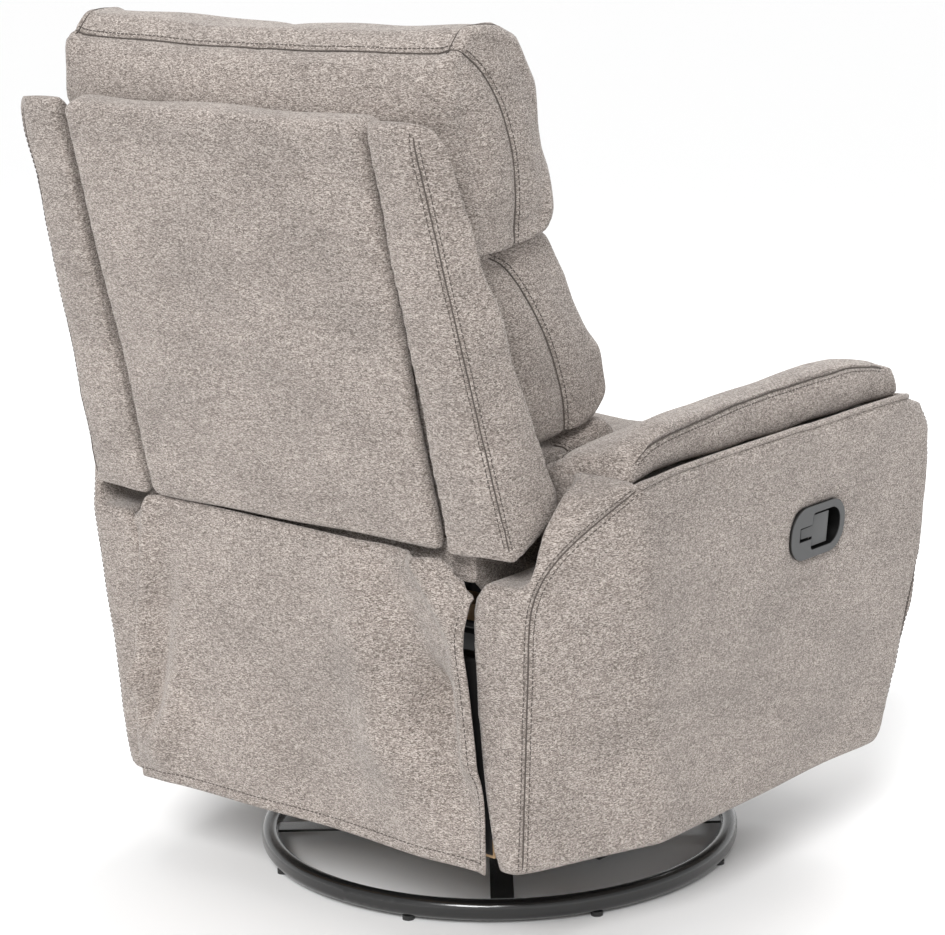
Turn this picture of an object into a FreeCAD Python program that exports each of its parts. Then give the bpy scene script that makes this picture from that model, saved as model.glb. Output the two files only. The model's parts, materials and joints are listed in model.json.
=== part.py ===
import FreeCAD, Part

import math
import os

import Sketcher
from FreeCAD import Placement, Rotation, Vector

# Swivel glider recliner chair. Millimetres, +Z up, the sitter faces -Y.
# The origin is on the floor at the centre of the whole chair's footprint. The
# swivel axis stands a little in front of it, at swivel_y, under the seat.

# ---------------------------------------------------------------- dimensions
DIMENSIONS = {
    # base
    "swivel_y": -55,
    "foot_height": 5.5,
    "foot_radius": 7,
    "ring_radius": 280,
    "ring_width": 20,
    "ring_height": 24,
    "ring_corner": 9,
    "bar_width": 27,
    "bar_thickness": 3,
    "bar_inner_radius": 30,
    "bar_weld_gap": 0.35,
    "bar_bearing": 130.6,
    "hub_radius": 80,
    "hub_thickness": 4,
    "race_inner_radius": 45,
    "race_outer_radius": 75,
    "race_thickness": 6,
    "race_gap": 2,
    "ball_radius": 3,
    "ball_clearance": 0.05,
    "bolt_radius": 6,
    "bolt_head_radius": 11,
    "running_clearance": 0.05,
    # glider
    "swivel_plate_width": 412,
    "swivel_plate_depth": 130,
    "plate_thickness": 4,
    "stand_inner_x": 196,
    "stand_foot_half": 62,
    "stand_top_half": 124,
    "stand_top_z": 326,
    "stand_flange": 30,
    "pivot_half_spacing": 105,
    "hanger_z": 310,
    "link_length": 145,
    "link_half_width": 12,
    "link_inner_x": 204,
    "pin_radius": 5,
    "pin_head_radius": 8,
    "spreader_radius": 9,
    "spreader_half_spacing": 60,
    "spreader_z": 245,
    "glider_rail_inner_x": 209,
    "glider_rail_front_y": -266,
    "glider_rail_rear_y": 151,
    "glider_rail_half_height": 15,
    "cross_tube_size": 25,
    "cross_tube_wall": 2,
    "cross_tube_front_y": -262,
    "cross_tube_rear_y": 122,
    # seat platform
    "mech_inner_x": 250,
    "mech_top_z": 336,
    "mech_hole_z": 256,
    "mech_hole_radius": 36,
    "mech_hole_spacing": 105,
    "arm_board_inner_x": 254,
    "arm_inner_x": 270,
    "arm_board_front_y": -330,
    "arm_board_rear_y": 255,
    "arm_board_bottom_z": 125,
    "arm_board_top_z": 330,
    "seat_rail_thickness": 20,
    "seat_rail_width": 40,
    "seat_rail_front_y": -338,
    "seat_rail_rear_y": 120,
    "spring_wire_radius": 1.8,
    "spring_pitch": 24,
    "spring_half_width": 22,
    "spring_spacing": 84,
    "cushion_half_width": 262,
    "cushion_round": 7,
    "rear_rail_height": 60,
    "rear_rail_depth": 20,
    # arms
    "arm_bottom_z": 118,
    "arm_top_z": 554,
    "arm_foot_x": 363,
    "arm_splay": 0.098,
    "arm_taper_y": 95,
    "arm_taper_top_y": 185,
    "arm_rear_x": 301,
    "arm_rear_y": 272,
    "arm_rear_lean": 0.047,
    "arm_front_y": -396,
    "arm_notch_x": 325,
    "arm_notch_y": 188,
    "arm_notch_z": 444,
    "trim_margin": 600,
    "arm_round": 9,
    "pad_inner_x": 276,
    "pad_outer_x": 399,
    "pad_round": 6,
    # handle
    "cup_y": -153,
    "cup_z": 428,
    "cup_length": 106,
    "cup_height": 62,
    "cup_corner": 28,
    "cup_proud": 4,
    "cup_seat_gap": 0.3,
    "cup_depth": 26,
    "cup_wall": 3,
    "recess_rear": -13,
    "recess_front": 44,
    "recess_half_height": 22,
    "recess_shoulder": 32,
    "recess_rear_corner": 5,
    "recess_front_corner": 20,
    "slot_rear": -37,
    "slot_half_height": 8.5,
    "slot_depth": 12,
    "paddle_head_rear": -10,
    "paddle_head_front": 23,
    "paddle_head_half": 20,
    "paddle_stem_rear": -33.5,
    "paddle_stem_half": 7.4,
    "paddle_thickness": 3.5,
    "paddle_face": 1.5,
    "paddle_pin_u": -30,
    "paddle_pin_w": -4.6,
    "paddle_pin_radius": 1.2,
    "paddle_barrel_radius": 2.5,
    "paddle_pin_half_length": 11,
    "paddle_barrel_length": 11,
    "handle_spring_radius": 2.1,
    "handle_spring_wire": 0.5,
    # backrest
    "recline_y": 145,
    "recline_z": 335,
    "recline_eye_radius": 16,
    "recline_pin_radius": 6,
    "back_bracket_inner_x": 244,
    "back_rail_front_y": 215,
    "back_rail_rear_y": 268,
    "back_rail_bottom_z": 435,
    "back_rail_top_z": 478,
    "panel_half_width": 221,
    "wing_inner_x": 224,
    "wing_foot_x": 318,
    "wing_top_x": 289,
    "wing_round": 8,
    "back_board_half_width": 216,
    "headrest_half_width": 283,
    "middle_half_width": 268,
    "lower_half_width": 258,
    "pillow_round": 20,
    "curtain_left_x": 286,
    "curtain_right_x": 262,
    # footrest
    "lift_y": -285,
    "lift_z": 305,
    "lift_tube_radius": 11,
    "rear_link_length": 160,
    "rear_link_half_width": 16,
    "rear_link_inner_x": 230,
    "front_link_length": 130,
    "front_link_inner_x": 224,
    "foot_bracket_inner_x": 218,
    "foot_pin_head_radius": 9,
    "foot_half_width": 262,
    "foot_board_rear_y": -343,
    "foot_board_thickness": 15,
    "foot_board_bottom_z": 130,
    "foot_board_top_z": 328,
    "foot_pad_thickness": 40,
    "foot_pad_overhang": 7,
    "foot_pad_round": 14,
    "soft_gap": 0.4,
}

# Side outlines, seen along X: each point is (y, z).
OUTLINES = {
    "mech_plate": [(-305, 285), (-305, 325), (-290, 336), (120, 336), (128, 350), (145, 355),
                   (163, 350), (165, 328), (150, 230), (135, 178), (-268, 178), (-280, 200)],
    "seat_cushion": [(-392, 372), (-378, 358), (112, 358), (116, 474), (-360, 478), (-390, 462)],
    "arm_side": [(-339, 110), (-391, 287), (-396, 470), (-388, 512), (-366, 540), (-320, 554),
                 (190, 552), (226, 536), (256, 506), (287, 437), (300, 430), (320, 110)],
    "arm_pad": [(-328, 556), (-326, 572), (-314, 594), (-284, 610), (-231, 622), (-186, 626),
                (-110, 620), (-33, 614), (112, 610), (150, 600), (180, 576), (187, 556)],
    "back_panel": [(272, 471), (292, 467), (400, 926), (392, 932), (379, 931)],
    "wing": [(289, 469), (252, 490), (213, 514), (213, 536), (372, 905), (381, 925), (392, 932),
             (400, 926)],
    "back_board": [(216, 482), (270, 482), (371, 912), (345, 912), (311, 785), (228, 570),
                   (216, 540)],
    "back_bracket": [(129, 331), (145, 319), (161, 330), (268, 437), (268, 478), (215, 478)],
    "headrest_pillow": [(190, 794), (240, 787), (307, 787), (341, 930), (336, 992), (302, 1022),
                        (258, 1023), (225, 1008), (196, 958), (173, 868), (170, 820)],
    "middle_pillow": [(96, 583), (131, 568), (225, 568), (303, 784), (184, 784), (166, 778),
                      (134, 746), (78, 656), (69, 605)],
    "lower_pillow": [(52, 501), (78, 494), (211, 494), (211, 535), (220, 563), (130, 563),
                     (88, 579), (66, 575), (50, 551), (39, 520)],
    "back_curtain": [(273.5, 117), (279.5, 117), (295, 465), (289, 465)],
    "foot_bracket": [(-273, 275), (-285, 263), (-343, 225), (-343, 318), (-285, 287)],
}

FOOT_COUNT = 8
BALL_COUNT = 16
SPRING_COUNT = 5
SPRING_TURNS = 3
SIDES = {"right": -1, "left": 1}

os.makedirs("parts", exist_ok=True)
doc = FreeCAD.newDocument("GliderChair")


def fill_sheet():
    """Write every driving dimension and outline point to the spreadsheet, one named cell each."""
    cells = dict(DIMENSIONS)
    for outline, points in OUTLINES.items():
        for index, (y, z) in enumerate(points, start=1):
            cells[f"{outline}_y_{index}"] = y
            cells[f"{outline}_z_{index}"] = z
    page = doc.addObject("Spreadsheet::Sheet", "Dim")
    for row, (alias, value) in enumerate(cells.items(), start=1):
        page.set(f"A{row}", alias)
        page.set(f"B{row}", str(value))
        page.setAlias(f"B{row}", alias)
    return page


sheet = fill_sheet()
doc.recompute()
sub_parts = []


# ------------------------------------------------------------------- helpers
def named(text):
    """The same expression with every dimension's name pointed at the sheet."""
    words = text.replace("(", " ( ").replace(")", " ) ").split()
    return " ".join(f"Dim.{word}" if word[0].isalpha() else word for word in words)


def number(text):
    """What an expression is worth now."""
    return float(sheet.evalExpression(named(text)))


def bind(item, **settings):
    """Bind properties to expressions; a double underscore stands for a dot."""
    for path, text in settings.items():
        item.setExpression(path.replace("__", "."), named(text))


def sub_part(item, name):
    """Give a finished object its name and list it for export."""
    item.Label = name
    sub_parts.append(item)
    return item


def new_body(name):
    return doc.addObject("PartDesign::Body", name)


def new_sketch(body, name, plane, offset="0"):
    """A sketch on one of the body's own origin planes, moved along its normal."""
    sketch = body.newObject("Sketcher::SketchObject", name)
    origin_plane = next(item for item in body.Origin.OriginFeatures if item.Role == plane)
    sketch.AttachmentSupport = [(origin_plane, "")]
    sketch.MapMode = "FlatFace"
    bind(sketch, AttachmentOffset__Base__z=offset)
    return sketch


def fix_point(sketch, geometry, end, u, v):
    """Hold one point of a sketch at the place that two expressions give."""
    for kind, text in (("DistanceX", u), ("DistanceY", v)):
        index = sketch.addConstraint(Sketcher.Constraint(kind, -1, 1, geometry, end, number(text)))
        sketch.setExpression(f"Constraints[{index}]", named(text))


def draw_polygon(sketch, corners):
    """A closed outline of straight edges through corners given as expressions."""
    places = [Vector(number(u), number(v), 0) for u, v in corners]
    first = sketch.GeometryCount
    for start, end in zip(places, places[1:] + places[:1]):
        sketch.addGeometry(Part.LineSegment(start, end))
    count = len(corners)
    for index in range(count):
        following = first + (index + 1) % count
        sketch.addConstraint(Sketcher.Constraint("Coincident", first + index, 2, following, 1))
    for index, (u, v) in enumerate(corners):
        fix_point(sketch, first + index, 1, u, v)


def draw_rectangle(sketch, u_low, u_high, v_low, v_high):
    draw_polygon(sketch, [(u_low, v_low), (u_high, v_low), (u_high, v_high), (u_low, v_high)])


def draw_circle(sketch, u, v, radius):
    index = sketch.addGeometry(Part.Circle(Vector(number(u), number(v), 0), Vector(0, 0, 1),
                                           number(radius)))
    fix_point(sketch, index, 3, u, v)
    size = sketch.addConstraint(Sketcher.Constraint("Radius", index, number(radius)))
    sketch.setExpression(f"Constraints[{size}]", named(radius))


def outline_corners(outline):
    count = len(OUTLINES[outline])
    return [(f"{outline}_y_{index}", f"{outline}_z_{index}") for index in range(1, count + 1)]


def pad(body, sketch, length):
    feature = body.newObject("PartDesign::Pad", f"{body.Name}_pad")
    feature.Profile = sketch
    bind(feature, Length=length)
    return feature


def pocket(body, sketch, length=None, flip=False):
    """Cut a sketch's area out of the body, all the way through both ways if no length is given."""
    feature = body.newObject("PartDesign::Pocket", f"{body.Name}_pocket")
    feature.Profile = sketch
    feature.Reversed = flip
    if length is None:
        feature.Type = "ThroughAll"
        feature.Midplane = True
    else:
        bind(feature, Length=length)
    return feature


def revolve(body, sketch):
    feature = body.newObject("PartDesign::Revolution", f"{body.Name}_revolution")
    feature.Profile = sketch
    feature.ReferenceAxis = (sketch, ["V_Axis"])
    feature.Angle = 360
    return feature


def round_edges(body, feature, radius, keep=None):
    """Round the edges of a feature that keep(edge) picks, or all of them."""
    doc.recompute()
    edges = feature.Shape.Edges
    chosen = [f"Edge{n}" for n, edge in enumerate(edges, start=1) if keep is None or keep(edge)]
    fillet = body.newObject("PartDesign::Fillet", f"{body.Name}_fillet")
    fillet.Base = (feature, chosen)
    bind(fillet, Radius=radius)
    return fillet


def side_start(side, inner, width):
    """Where a piece that runs outward from inner by width starts along +X on either side."""
    return inner if side > 0 else f"-1 * ( {inner} + {width} )"


def side_plate(name, side, outline, inner, width):
    """A body padded along X from an outline in the YZ plane, on one side of the chair."""
    body = new_body(name)
    sketch = new_sketch(body, f"{name}_outline", "YZ_Plane", side_start(side, inner, width))
    draw_polygon(sketch, outline)
    return body, pad(body, sketch, width)


def full_width(name, outline, half_width):
    """A body padded along X across the whole chair from an outline in the YZ plane."""
    body = new_body(name)
    sketch = new_sketch(body, f"{name}_outline", "YZ_Plane", f"-1 * {half_width}")
    draw_polygon(sketch, outline)
    return body, pad(body, sketch, f"2 * {half_width}")


def box(name, x_low, x_high, y_low, y_high, z_low, z_high):
    item = doc.addObject("Part::Box", name)
    bind(item, Length=f"{x_high} - ( {x_low} )", Width=f"{y_high} - ( {y_low} )",
         Height=f"{z_high} - ( {z_low} )", Placement__Base__x=x_low, Placement__Base__y=y_low,
         Placement__Base__z=z_low)
    return item


def rod(name, x_low, x_high, y, z, radius):
    """A cylinder along X."""
    item = doc.addObject("Part::Cylinder", name)
    item.Placement = Placement(Vector(0, 0, 0), Rotation(Vector(0, 1, 0), 90))
    bind(item, Radius=radius, Height=f"{x_high} - ( {x_low} )", Placement__Base__x=x_low,
         Placement__Base__y=y, Placement__Base__z=z)
    return item


def group(name, members):
    """Several like solids that share one name."""
    item = doc.addObject("Part::Compound", name)
    item.Links = members
    return sub_part(item, name)


def on_swivel_axis(item):
    bind(item, Placement__Base__y="swivel_y")
    return item


# ---------------------------------------------------------------------- base
RING_MID_Z = "foot_height + ring_height / 2"
BAR_BOTTOM_Z = f"{RING_MID_Z} - bar_thickness / 2"
HUB_BOTTOM_Z = f"{RING_MID_Z} + bar_thickness / 2"
RACE_BOTTOM_Z = f"{HUB_BOTTOM_Z} + hub_thickness"
BALL_MID_Z = f"{RACE_BOTTOM_Z} + race_thickness + race_gap / 2"
UPPER_RACE_Z = f"{RACE_BOTTOM_Z} + race_thickness + race_gap"
PLATE_BOTTOM_Z = f"{UPPER_RACE_Z} + race_thickness"
PLATE_TOP_Z = f"{PLATE_BOTTOM_Z} + plate_thickness"
RACE_MID_RADIUS = "( race_inner_radius + race_outer_radius ) / 2"


def rounded_section(sketch, u_mid, v_mid, width, height, corner):
    """An upright rounded rectangle: four edges joined by four quarter arcs."""
    u, v, r = number(u_mid), number(v_mid), number(corner)
    half_u, half_v = number(width) / 2, number(height) / 2
    equal = [Sketcher.Constraint("Equal", 0, arc) for arc in (1, 2, 3)]
    corners = [(1, -1, -90), (1, 1, 0), (-1, 1, 90), (-1, -1, 180)]
    arcs = []
    for sign_u, sign_v, start in corners:
        centre = Vector(u + sign_u * (half_u - r), v + sign_v * (half_v - r), 0)
        circle = Part.Circle(centre, Vector(0, 0, 1), r)
        arcs.append(sketch.addGeometry(Part.ArcOfCircle(circle, math.radians(start),
                                                        math.radians(start + 90))))
        centre_u = f"{u_mid} + {sign_u} * ( ( {width} ) / 2 - {corner} )"
        centre_v = f"{v_mid} + {sign_v} * ( ( {height} ) / 2 - {corner} )"
        fix_point(sketch, arcs[-1], 3, centre_u, centre_v)
    for index, arc in enumerate(arcs):
        following = arcs[(index + 1) % 4]
        start = sketch.getPoint(arc, 2)
        end = sketch.getPoint(following, 1)
        edge = sketch.addGeometry(Part.LineSegment(start, end))
        sketch.addConstraint(Sketcher.Constraint("Tangent", arc, 2, edge, 1))
        sketch.addConstraint(Sketcher.Constraint("Tangent", edge, 2, following, 1))
    sketch.addConstraint(equal)
    size = sketch.addConstraint(Sketcher.Constraint("Radius", arcs[0], r))
    sketch.setExpression(f"Constraints[{size}]", named(corner))


def build_base():
    ring = new_body("base_ring")
    section = new_sketch(ring, "ring_section", "XZ_Plane")
    rounded_section(section, "ring_radius", RING_MID_Z, "ring_width", "ring_height", "ring_corner")
    revolve(ring, section)
    sub_part(on_swivel_axis(ring), "base_ring")

    bars = []
    for quarter in range(4):
        bar = doc.addObject("Part::Box", f"cross_bar_{quarter + 1}")
        bind(bar, Length="ring_radius - ring_width / 2 - bar_weld_gap - bar_inner_radius",
             Width="bar_width", Height="bar_thickness")
        bearing = number("bar_bearing") + 90 * quarter
        turn = Rotation(Vector(0, 0, 1), bearing)
        corner = Vector(number("bar_inner_radius"), -number("bar_width") / 2, number(BAR_BOTTOM_Z))
        bar.Placement = Placement(turn.multVec(corner) + Vector(0, number("swivel_y"), 0), turn)
        bars.append(bar)
    group("cross_bars", bars)

    hub = new_body("hub_plate")
    hub_section = new_sketch(hub, "hub_section", "XZ_Plane")
    draw_rectangle(hub_section, "bolt_radius", "hub_radius", HUB_BOTTOM_Z, RACE_BOTTOM_Z)
    revolve(hub, hub_section)
    sub_part(on_swivel_axis(hub), "hub_plate")

    feet = []
    for index in range(FOOT_COUNT):
        bearing = math.radians(number("bar_bearing") + 360 / FOOT_COUNT * (index + 0.5))
        foot = doc.addObject("Part::Cylinder", f"glide_foot_{index + 1}")
        bind(foot, Radius="foot_radius", Height="foot_height")
        radius = number("ring_radius")
        foot.Placement.Base = Vector(radius * math.cos(bearing),
                                     radius * math.sin(bearing) + number("swivel_y"), 0)
        feet.append(foot)
    group("glide_feet", feet)

    build_race("lower_race", RACE_BOTTOM_Z)
    build_race("upper_race", UPPER_RACE_Z)

    balls = []
    for index in range(BALL_COUNT):
        bearing = 2 * math.pi * index / BALL_COUNT
        ball = doc.addObject("Part::Sphere", f"ball_{index + 1}")
        bind(ball, Radius="ball_radius")
        radius = number(RACE_MID_RADIUS)
        ball.Placement.Base = Vector(radius * math.cos(bearing),
                                     radius * math.sin(bearing) + number("swivel_y"),
                                     number(BALL_MID_Z))
        balls.append(ball)
    group("bearing_balls", balls)

    bolt = new_body("king_bolt")
    section = new_sketch(bolt, "bolt_section", "XZ_Plane")
    head_top = HUB_BOTTOM_Z
    tip = f"{PLATE_TOP_Z} + soft_gap"
    draw_polygon(section, [("0", f"{head_top} - bolt_radius"),
                           ("bolt_head_radius", f"{head_top} - bolt_radius"),
                           ("bolt_head_radius", head_top), ("bolt_radius", head_top),
                           ("bolt_radius", tip), ("bolt_head_radius", tip),
                           ("bolt_head_radius", f"{tip} + bolt_radius"),
                           ("0", f"{tip} + bolt_radius")])
    revolve(bolt, section)
    sub_part(on_swivel_axis(bolt), "king_bolt")


def build_race(name, bottom_z):
    """A flat bearing ring with a groove for the balls."""
    race = new_body(name)
    section = new_sketch(race, f"{name}_section", "XZ_Plane")
    draw_rectangle(section, "race_inner_radius", "race_outer_radius", bottom_z,
                   f"{bottom_z} + race_thickness")
    revolve(race, section)
    groove_sketch = new_sketch(race, f"{name}_groove", "XZ_Plane")
    draw_circle(groove_sketch, RACE_MID_RADIUS, BALL_MID_Z, "ball_radius + ball_clearance")
    groove = race.newObject("PartDesign::Groove", f"{name}_ball_groove")
    groove.Profile = groove_sketch
    groove.ReferenceAxis = (groove_sketch, ["V_Axis"])
    groove.Angle = 360
    sub_part(on_swivel_axis(race), name)


# -------------------------------------------------------------------- glider
PIVOT_FRONT_Y = "swivel_y - pivot_half_spacing"
PIVOT_REAR_Y = "swivel_y + pivot_half_spacing"
CARRIER_Z = "hanger_z - link_length"


def draw_link(sketch, y_top, z_top, y_low, z_low, half_width, top_hole, low_hole):
    """An upright bar with round ends and a hole at each end."""
    top = Vector(number(y_top), number(z_top), 0)
    low = Vector(number(y_low), number(z_low), 0)
    r = number(half_width)
    upper = Part.ArcOfCircle(Part.Circle(top, Vector(0, 0, 1), r), 0, math.pi)
    lower = Part.ArcOfCircle(Part.Circle(low, Vector(0, 0, 1), r), math.pi, 2 * math.pi)
    cap = sketch.addGeometry(upper)
    base = sketch.addGeometry(lower)
    left = sketch.addGeometry(Part.LineSegment(sketch.getPoint(cap, 2), sketch.getPoint(base, 1)))
    right = sketch.addGeometry(Part.LineSegment(sketch.getPoint(base, 2), sketch.getPoint(cap, 1)))
    for first, first_end, second, second_end in ((cap, 2, left, 1), (left, 2, base, 1),
                                                 (base, 2, right, 1), (right, 2, cap, 1)):
        sketch.addConstraint(Sketcher.Constraint("Tangent", first, first_end, second, second_end))
    fix_point(sketch, cap, 3, y_top, z_top)
    fix_point(sketch, base, 3, y_low, z_low)
    size = sketch.addConstraint(Sketcher.Constraint("Radius", cap, r))
    sketch.setExpression(f"Constraints[{size}]", named(half_width))
    draw_circle(sketch, y_top, z_top, top_hole)
    draw_circle(sketch, y_low, z_low, low_hole)


def build_glider():
    plate = new_body("swivel_plate")
    outline = new_sketch(plate, "swivel_plate_outline", "XY_Plane", PLATE_BOTTOM_Z)
    draw_rectangle(outline, "-1 * swivel_plate_width / 2", "swivel_plate_width / 2",
                   "-1 * swivel_plate_depth / 2", "swivel_plate_depth / 2")
    draw_circle(outline, "0", "0", "bolt_radius + running_clearance")
    pad(plate, outline, "plate_thickness")
    sub_part(on_swivel_axis(plate), "swivel_plate")

    running_hole = "pin_radius + running_clearance"
    for side_name, side in SIDES.items():
        build_stand(side_name, side)
        for end_name, pivot_y in (("front", PIVOT_FRONT_Y), ("rear", PIVOT_REAR_Y)):
            name = f"glide_link_{end_name}_{side_name}"
            link = new_body(name)
            sketch = new_sketch(link, f"{name}_outline", "YZ_Plane",
                                side_start(side, "link_inner_x", "plate_thickness"))
            draw_link(sketch, pivot_y, "hanger_z", pivot_y, CARRIER_Z, "link_half_width",
                      running_hole, running_hole)
            pad(link, sketch, "plate_thickness")
            sub_part(link, name)
        rail, _ = side_plate(f"glider_rail_{side_name}", side,
                             [("glider_rail_front_y", f"{CARRIER_Z} - glider_rail_half_height"),
                              ("glider_rail_rear_y", f"{CARRIER_Z} - glider_rail_half_height"),
                              ("glider_rail_rear_y", f"{CARRIER_Z} + glider_rail_half_height"),
                              ("glider_rail_front_y", f"{CARRIER_Z} + glider_rail_half_height")],
                             "glider_rail_inner_x", "plate_thickness")
        holes = new_sketch(rail, f"glider_rail_{side_name}_holes", "YZ_Plane")
        draw_circle(holes, PIVOT_FRONT_Y, CARRIER_Z, "pin_radius")
        draw_circle(holes, PIVOT_REAR_Y, CARRIER_Z, "pin_radius")
        pocket(rail, holes)
        sub_part(rail, f"glider_rail_{side_name}")

    spreader_ends = ("-1 * stand_inner_x", "stand_inner_x")
    group("stand_spreaders", [
        rod(f"stand_spreader_{end}", *spreader_ends, f"swivel_y + {sign} * spreader_half_spacing",
            "spreader_z", "spreader_radius") for end, sign in (("front", -1), ("rear", 1))])

    stand_outer = "( stand_inner_x + plate_thickness )"
    link_outer = "( link_inner_x + plate_thickness )"
    hangers = []
    carriers = []
    for side_name, side in SIDES.items():
        for end_name, pivot_y in (("front", PIVOT_FRONT_Y), ("rear", PIVOT_REAR_Y)):
            tag = f"{end_name}_{side_name}"
            hangers.append(stepped_pin(f"hanger_pin_{tag}", side, pivot_y, "hanger_z", [
                ("stand_inner_x - plate_thickness", "stand_inner_x", "pin_head_radius"),
                ("stand_inner_x", stand_outer, "pin_radius"),
                (stand_outer, "link_inner_x - soft_gap", "pin_head_radius"),
                ("link_inner_x - soft_gap", f"{link_outer} + soft_gap", "pin_radius"),
                (f"{link_outer} + soft_gap", f"{link_outer} + plate_thickness", "pin_head_radius")]))
            carriers.append(stepped_pin(f"carrier_pin_{tag}", side, pivot_y, CARRIER_Z, [
                (f"link_inner_x - plate_thickness / 2 - soft_gap", "link_inner_x - soft_gap",
                 "pin_head_radius"),
                ("link_inner_x - soft_gap", "glider_rail_inner_x + plate_thickness", "pin_radius"),
                ("glider_rail_inner_x + plate_thickness", "glider_rail_inner_x + 2 * plate_thickness",
                 "pin_head_radius")]))
    group("hanger_pins", hangers)
    group("carrier_pins", carriers)


def stepped_pin(name, side, y, z, steps):
    """A pin along X made of steps (inner, outer, radius), counted outward from the middle."""
    pin = new_body(name)
    section = new_sketch(pin, f"{name}_section", "XZ_Plane")
    corners = [("0", steps[0][0])]
    for inner, outer, radius in steps:
        corners += [(radius, inner), (radius, outer)]
    corners.append(("0", steps[-1][1]))
    draw_polygon(section, corners)
    revolve(pin, section)
    pin.Placement = Placement(Vector(0, 0, 0), Rotation(Vector(0, 1, 0), 90 * side))
    bind(pin, Placement__Base__y=y, Placement__Base__z=z)
    return pin


def build_stand(side_name, side):
    """An upright of the glider frame, wider at the top, with a foot flange and a window."""
    name = f"stand_{side_name}"
    stand, _ = side_plate(name, side, [
        ("swivel_y - stand_foot_half", PLATE_TOP_Z), ("swivel_y + stand_foot_half", PLATE_TOP_Z),
        ("swivel_y + stand_top_half", "stand_top_z - 2 * link_half_width"),
        ("swivel_y + stand_top_half", "stand_top_z"), ("swivel_y - stand_top_half", "stand_top_z"),
        ("swivel_y - stand_top_half", "stand_top_z - 2 * link_half_width")],
        "stand_inner_x", "plate_thickness")
    openings = new_sketch(stand, f"{name}_openings", "YZ_Plane")
    draw_circle(openings, PIVOT_FRONT_Y, "hanger_z", "pin_radius")
    draw_circle(openings, PIVOT_REAR_Y, "hanger_z", "pin_radius")
    draw_polygon(openings, [("swivel_y - stand_foot_half / 2", "spreader_z - stand_foot_half"),
                            ("swivel_y", "spreader_z - 2 * stand_foot_half"),
                            ("swivel_y + stand_foot_half / 2", "spreader_z - stand_foot_half")])
    pocket(stand, openings)
    flange = new_sketch(stand, f"{name}_flange", "YZ_Plane",
                        side_start(side, "stand_inner_x - stand_flange", "stand_flange"))
    draw_rectangle(flange, "swivel_y - stand_foot_half", "swivel_y + stand_foot_half", PLATE_TOP_Z,
                   f"{PLATE_TOP_Z} + plate_thickness")
    pad(stand, flange, "stand_flange")
    sub_part(stand, name)


# ------------------------------------------------------------- seat platform
RAIL_TOP_Z = f"{CARRIER_Z} + glider_rail_half_height"
SEAT_RAIL_TOP_Z = "mech_top_z + seat_rail_thickness"


def build_platform():
    for end in ("front", "rear"):
        name = f"cross_tube_{end}"
        front_y = f"cross_tube_{end}_y"
        tube = new_body(name)
        section = new_sketch(tube, f"{name}_section", "YZ_Plane", "-1 * mech_inner_x")
        draw_rectangle(section, front_y, f"{front_y} + cross_tube_size", RAIL_TOP_Z,
                       f"{RAIL_TOP_Z} + cross_tube_size")
        draw_rectangle(section, f"{front_y} + cross_tube_wall",
                       f"{front_y} + cross_tube_size - cross_tube_wall",
                       f"{RAIL_TOP_Z} + cross_tube_wall",
                       f"{RAIL_TOP_Z} + cross_tube_size - cross_tube_wall")
        pad(tube, section, "2 * mech_inner_x")
        sub_part(tube, name)

    side_rails = []
    for side_name, side in SIDES.items():
        name = f"mech_plate_{side_name}"
        plate, _ = side_plate(name, side, outline_corners("mech_plate"), "mech_inner_x",
                              "plate_thickness")
        holes = new_sketch(plate, f"{name}_holes", "YZ_Plane")
        draw_circle(holes, "lift_y", "lift_z", "lift_tube_radius + running_clearance")
        draw_circle(holes, "recline_y", "recline_z", "recline_pin_radius")
        for step in (-1, 0, 1):
            draw_circle(holes, f"swivel_y + {step} * mech_hole_spacing", "mech_hole_z",
                        "mech_hole_radius")
        pocket(plate, holes)
        sub_part(plate, name)

        board = box(f"arm_board_{side_name}",
                    "arm_board_inner_x" if side > 0 else "-1 * ( arm_inner_x - soft_gap )",
                    "arm_inner_x - soft_gap" if side > 0 else "-1 * arm_board_inner_x",
                    "arm_board_front_y", "arm_board_rear_y", "arm_board_bottom_z",
                    "arm_board_top_z")
        sub_part(board, f"arm_board_{side_name}")

        rail_outer = "arm_board_inner_x - soft_gap"
        rail_inner = f"( {rail_outer} - seat_rail_width )"
        side_rails.append(box(f"seat_rail_{side_name}",
                              rail_inner if side > 0 else f"-1 * ( {rail_outer} )",
                              rail_outer if side > 0 else f"-1 * {rail_inner}",
                              "seat_rail_front_y + seat_rail_width",
                              "seat_rail_rear_y - seat_rail_width", "mech_top_z",
                              SEAT_RAIL_TOP_Z))
    group("seat_side_rails", side_rails)

    rail_x = "( arm_board_inner_x - soft_gap )"
    sub_part(box("seat_rail_front", f"-1 * {rail_x}", rail_x, "seat_rail_front_y",
                 "seat_rail_front_y + seat_rail_width", "mech_top_z", SEAT_RAIL_TOP_Z),
             "seat_rail_front")
    sub_part(box("seat_rail_rear", f"-1 * {rail_x}", rail_x, "seat_rail_rear_y - seat_rail_width",
                 "seat_rail_rear_y", "mech_top_z", SEAT_RAIL_TOP_Z), "seat_rail_rear")
    sub_part(box("rear_rail", "-1 * arm_board_inner_x", "arm_board_inner_x",
                 "arm_board_rear_y - rear_rail_depth", "arm_board_rear_y", "arm_board_bottom_z",
                 "arm_board_bottom_z + rear_rail_height"), "rear_rail")
    build_springs()

    cushion, block = full_width("seat_cushion", outline_corners("seat_cushion"),
                                "cushion_half_width")
    round_edges(cushion, block, "cushion_round")
    sub_part(cushion, "seat_cushion")


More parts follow.
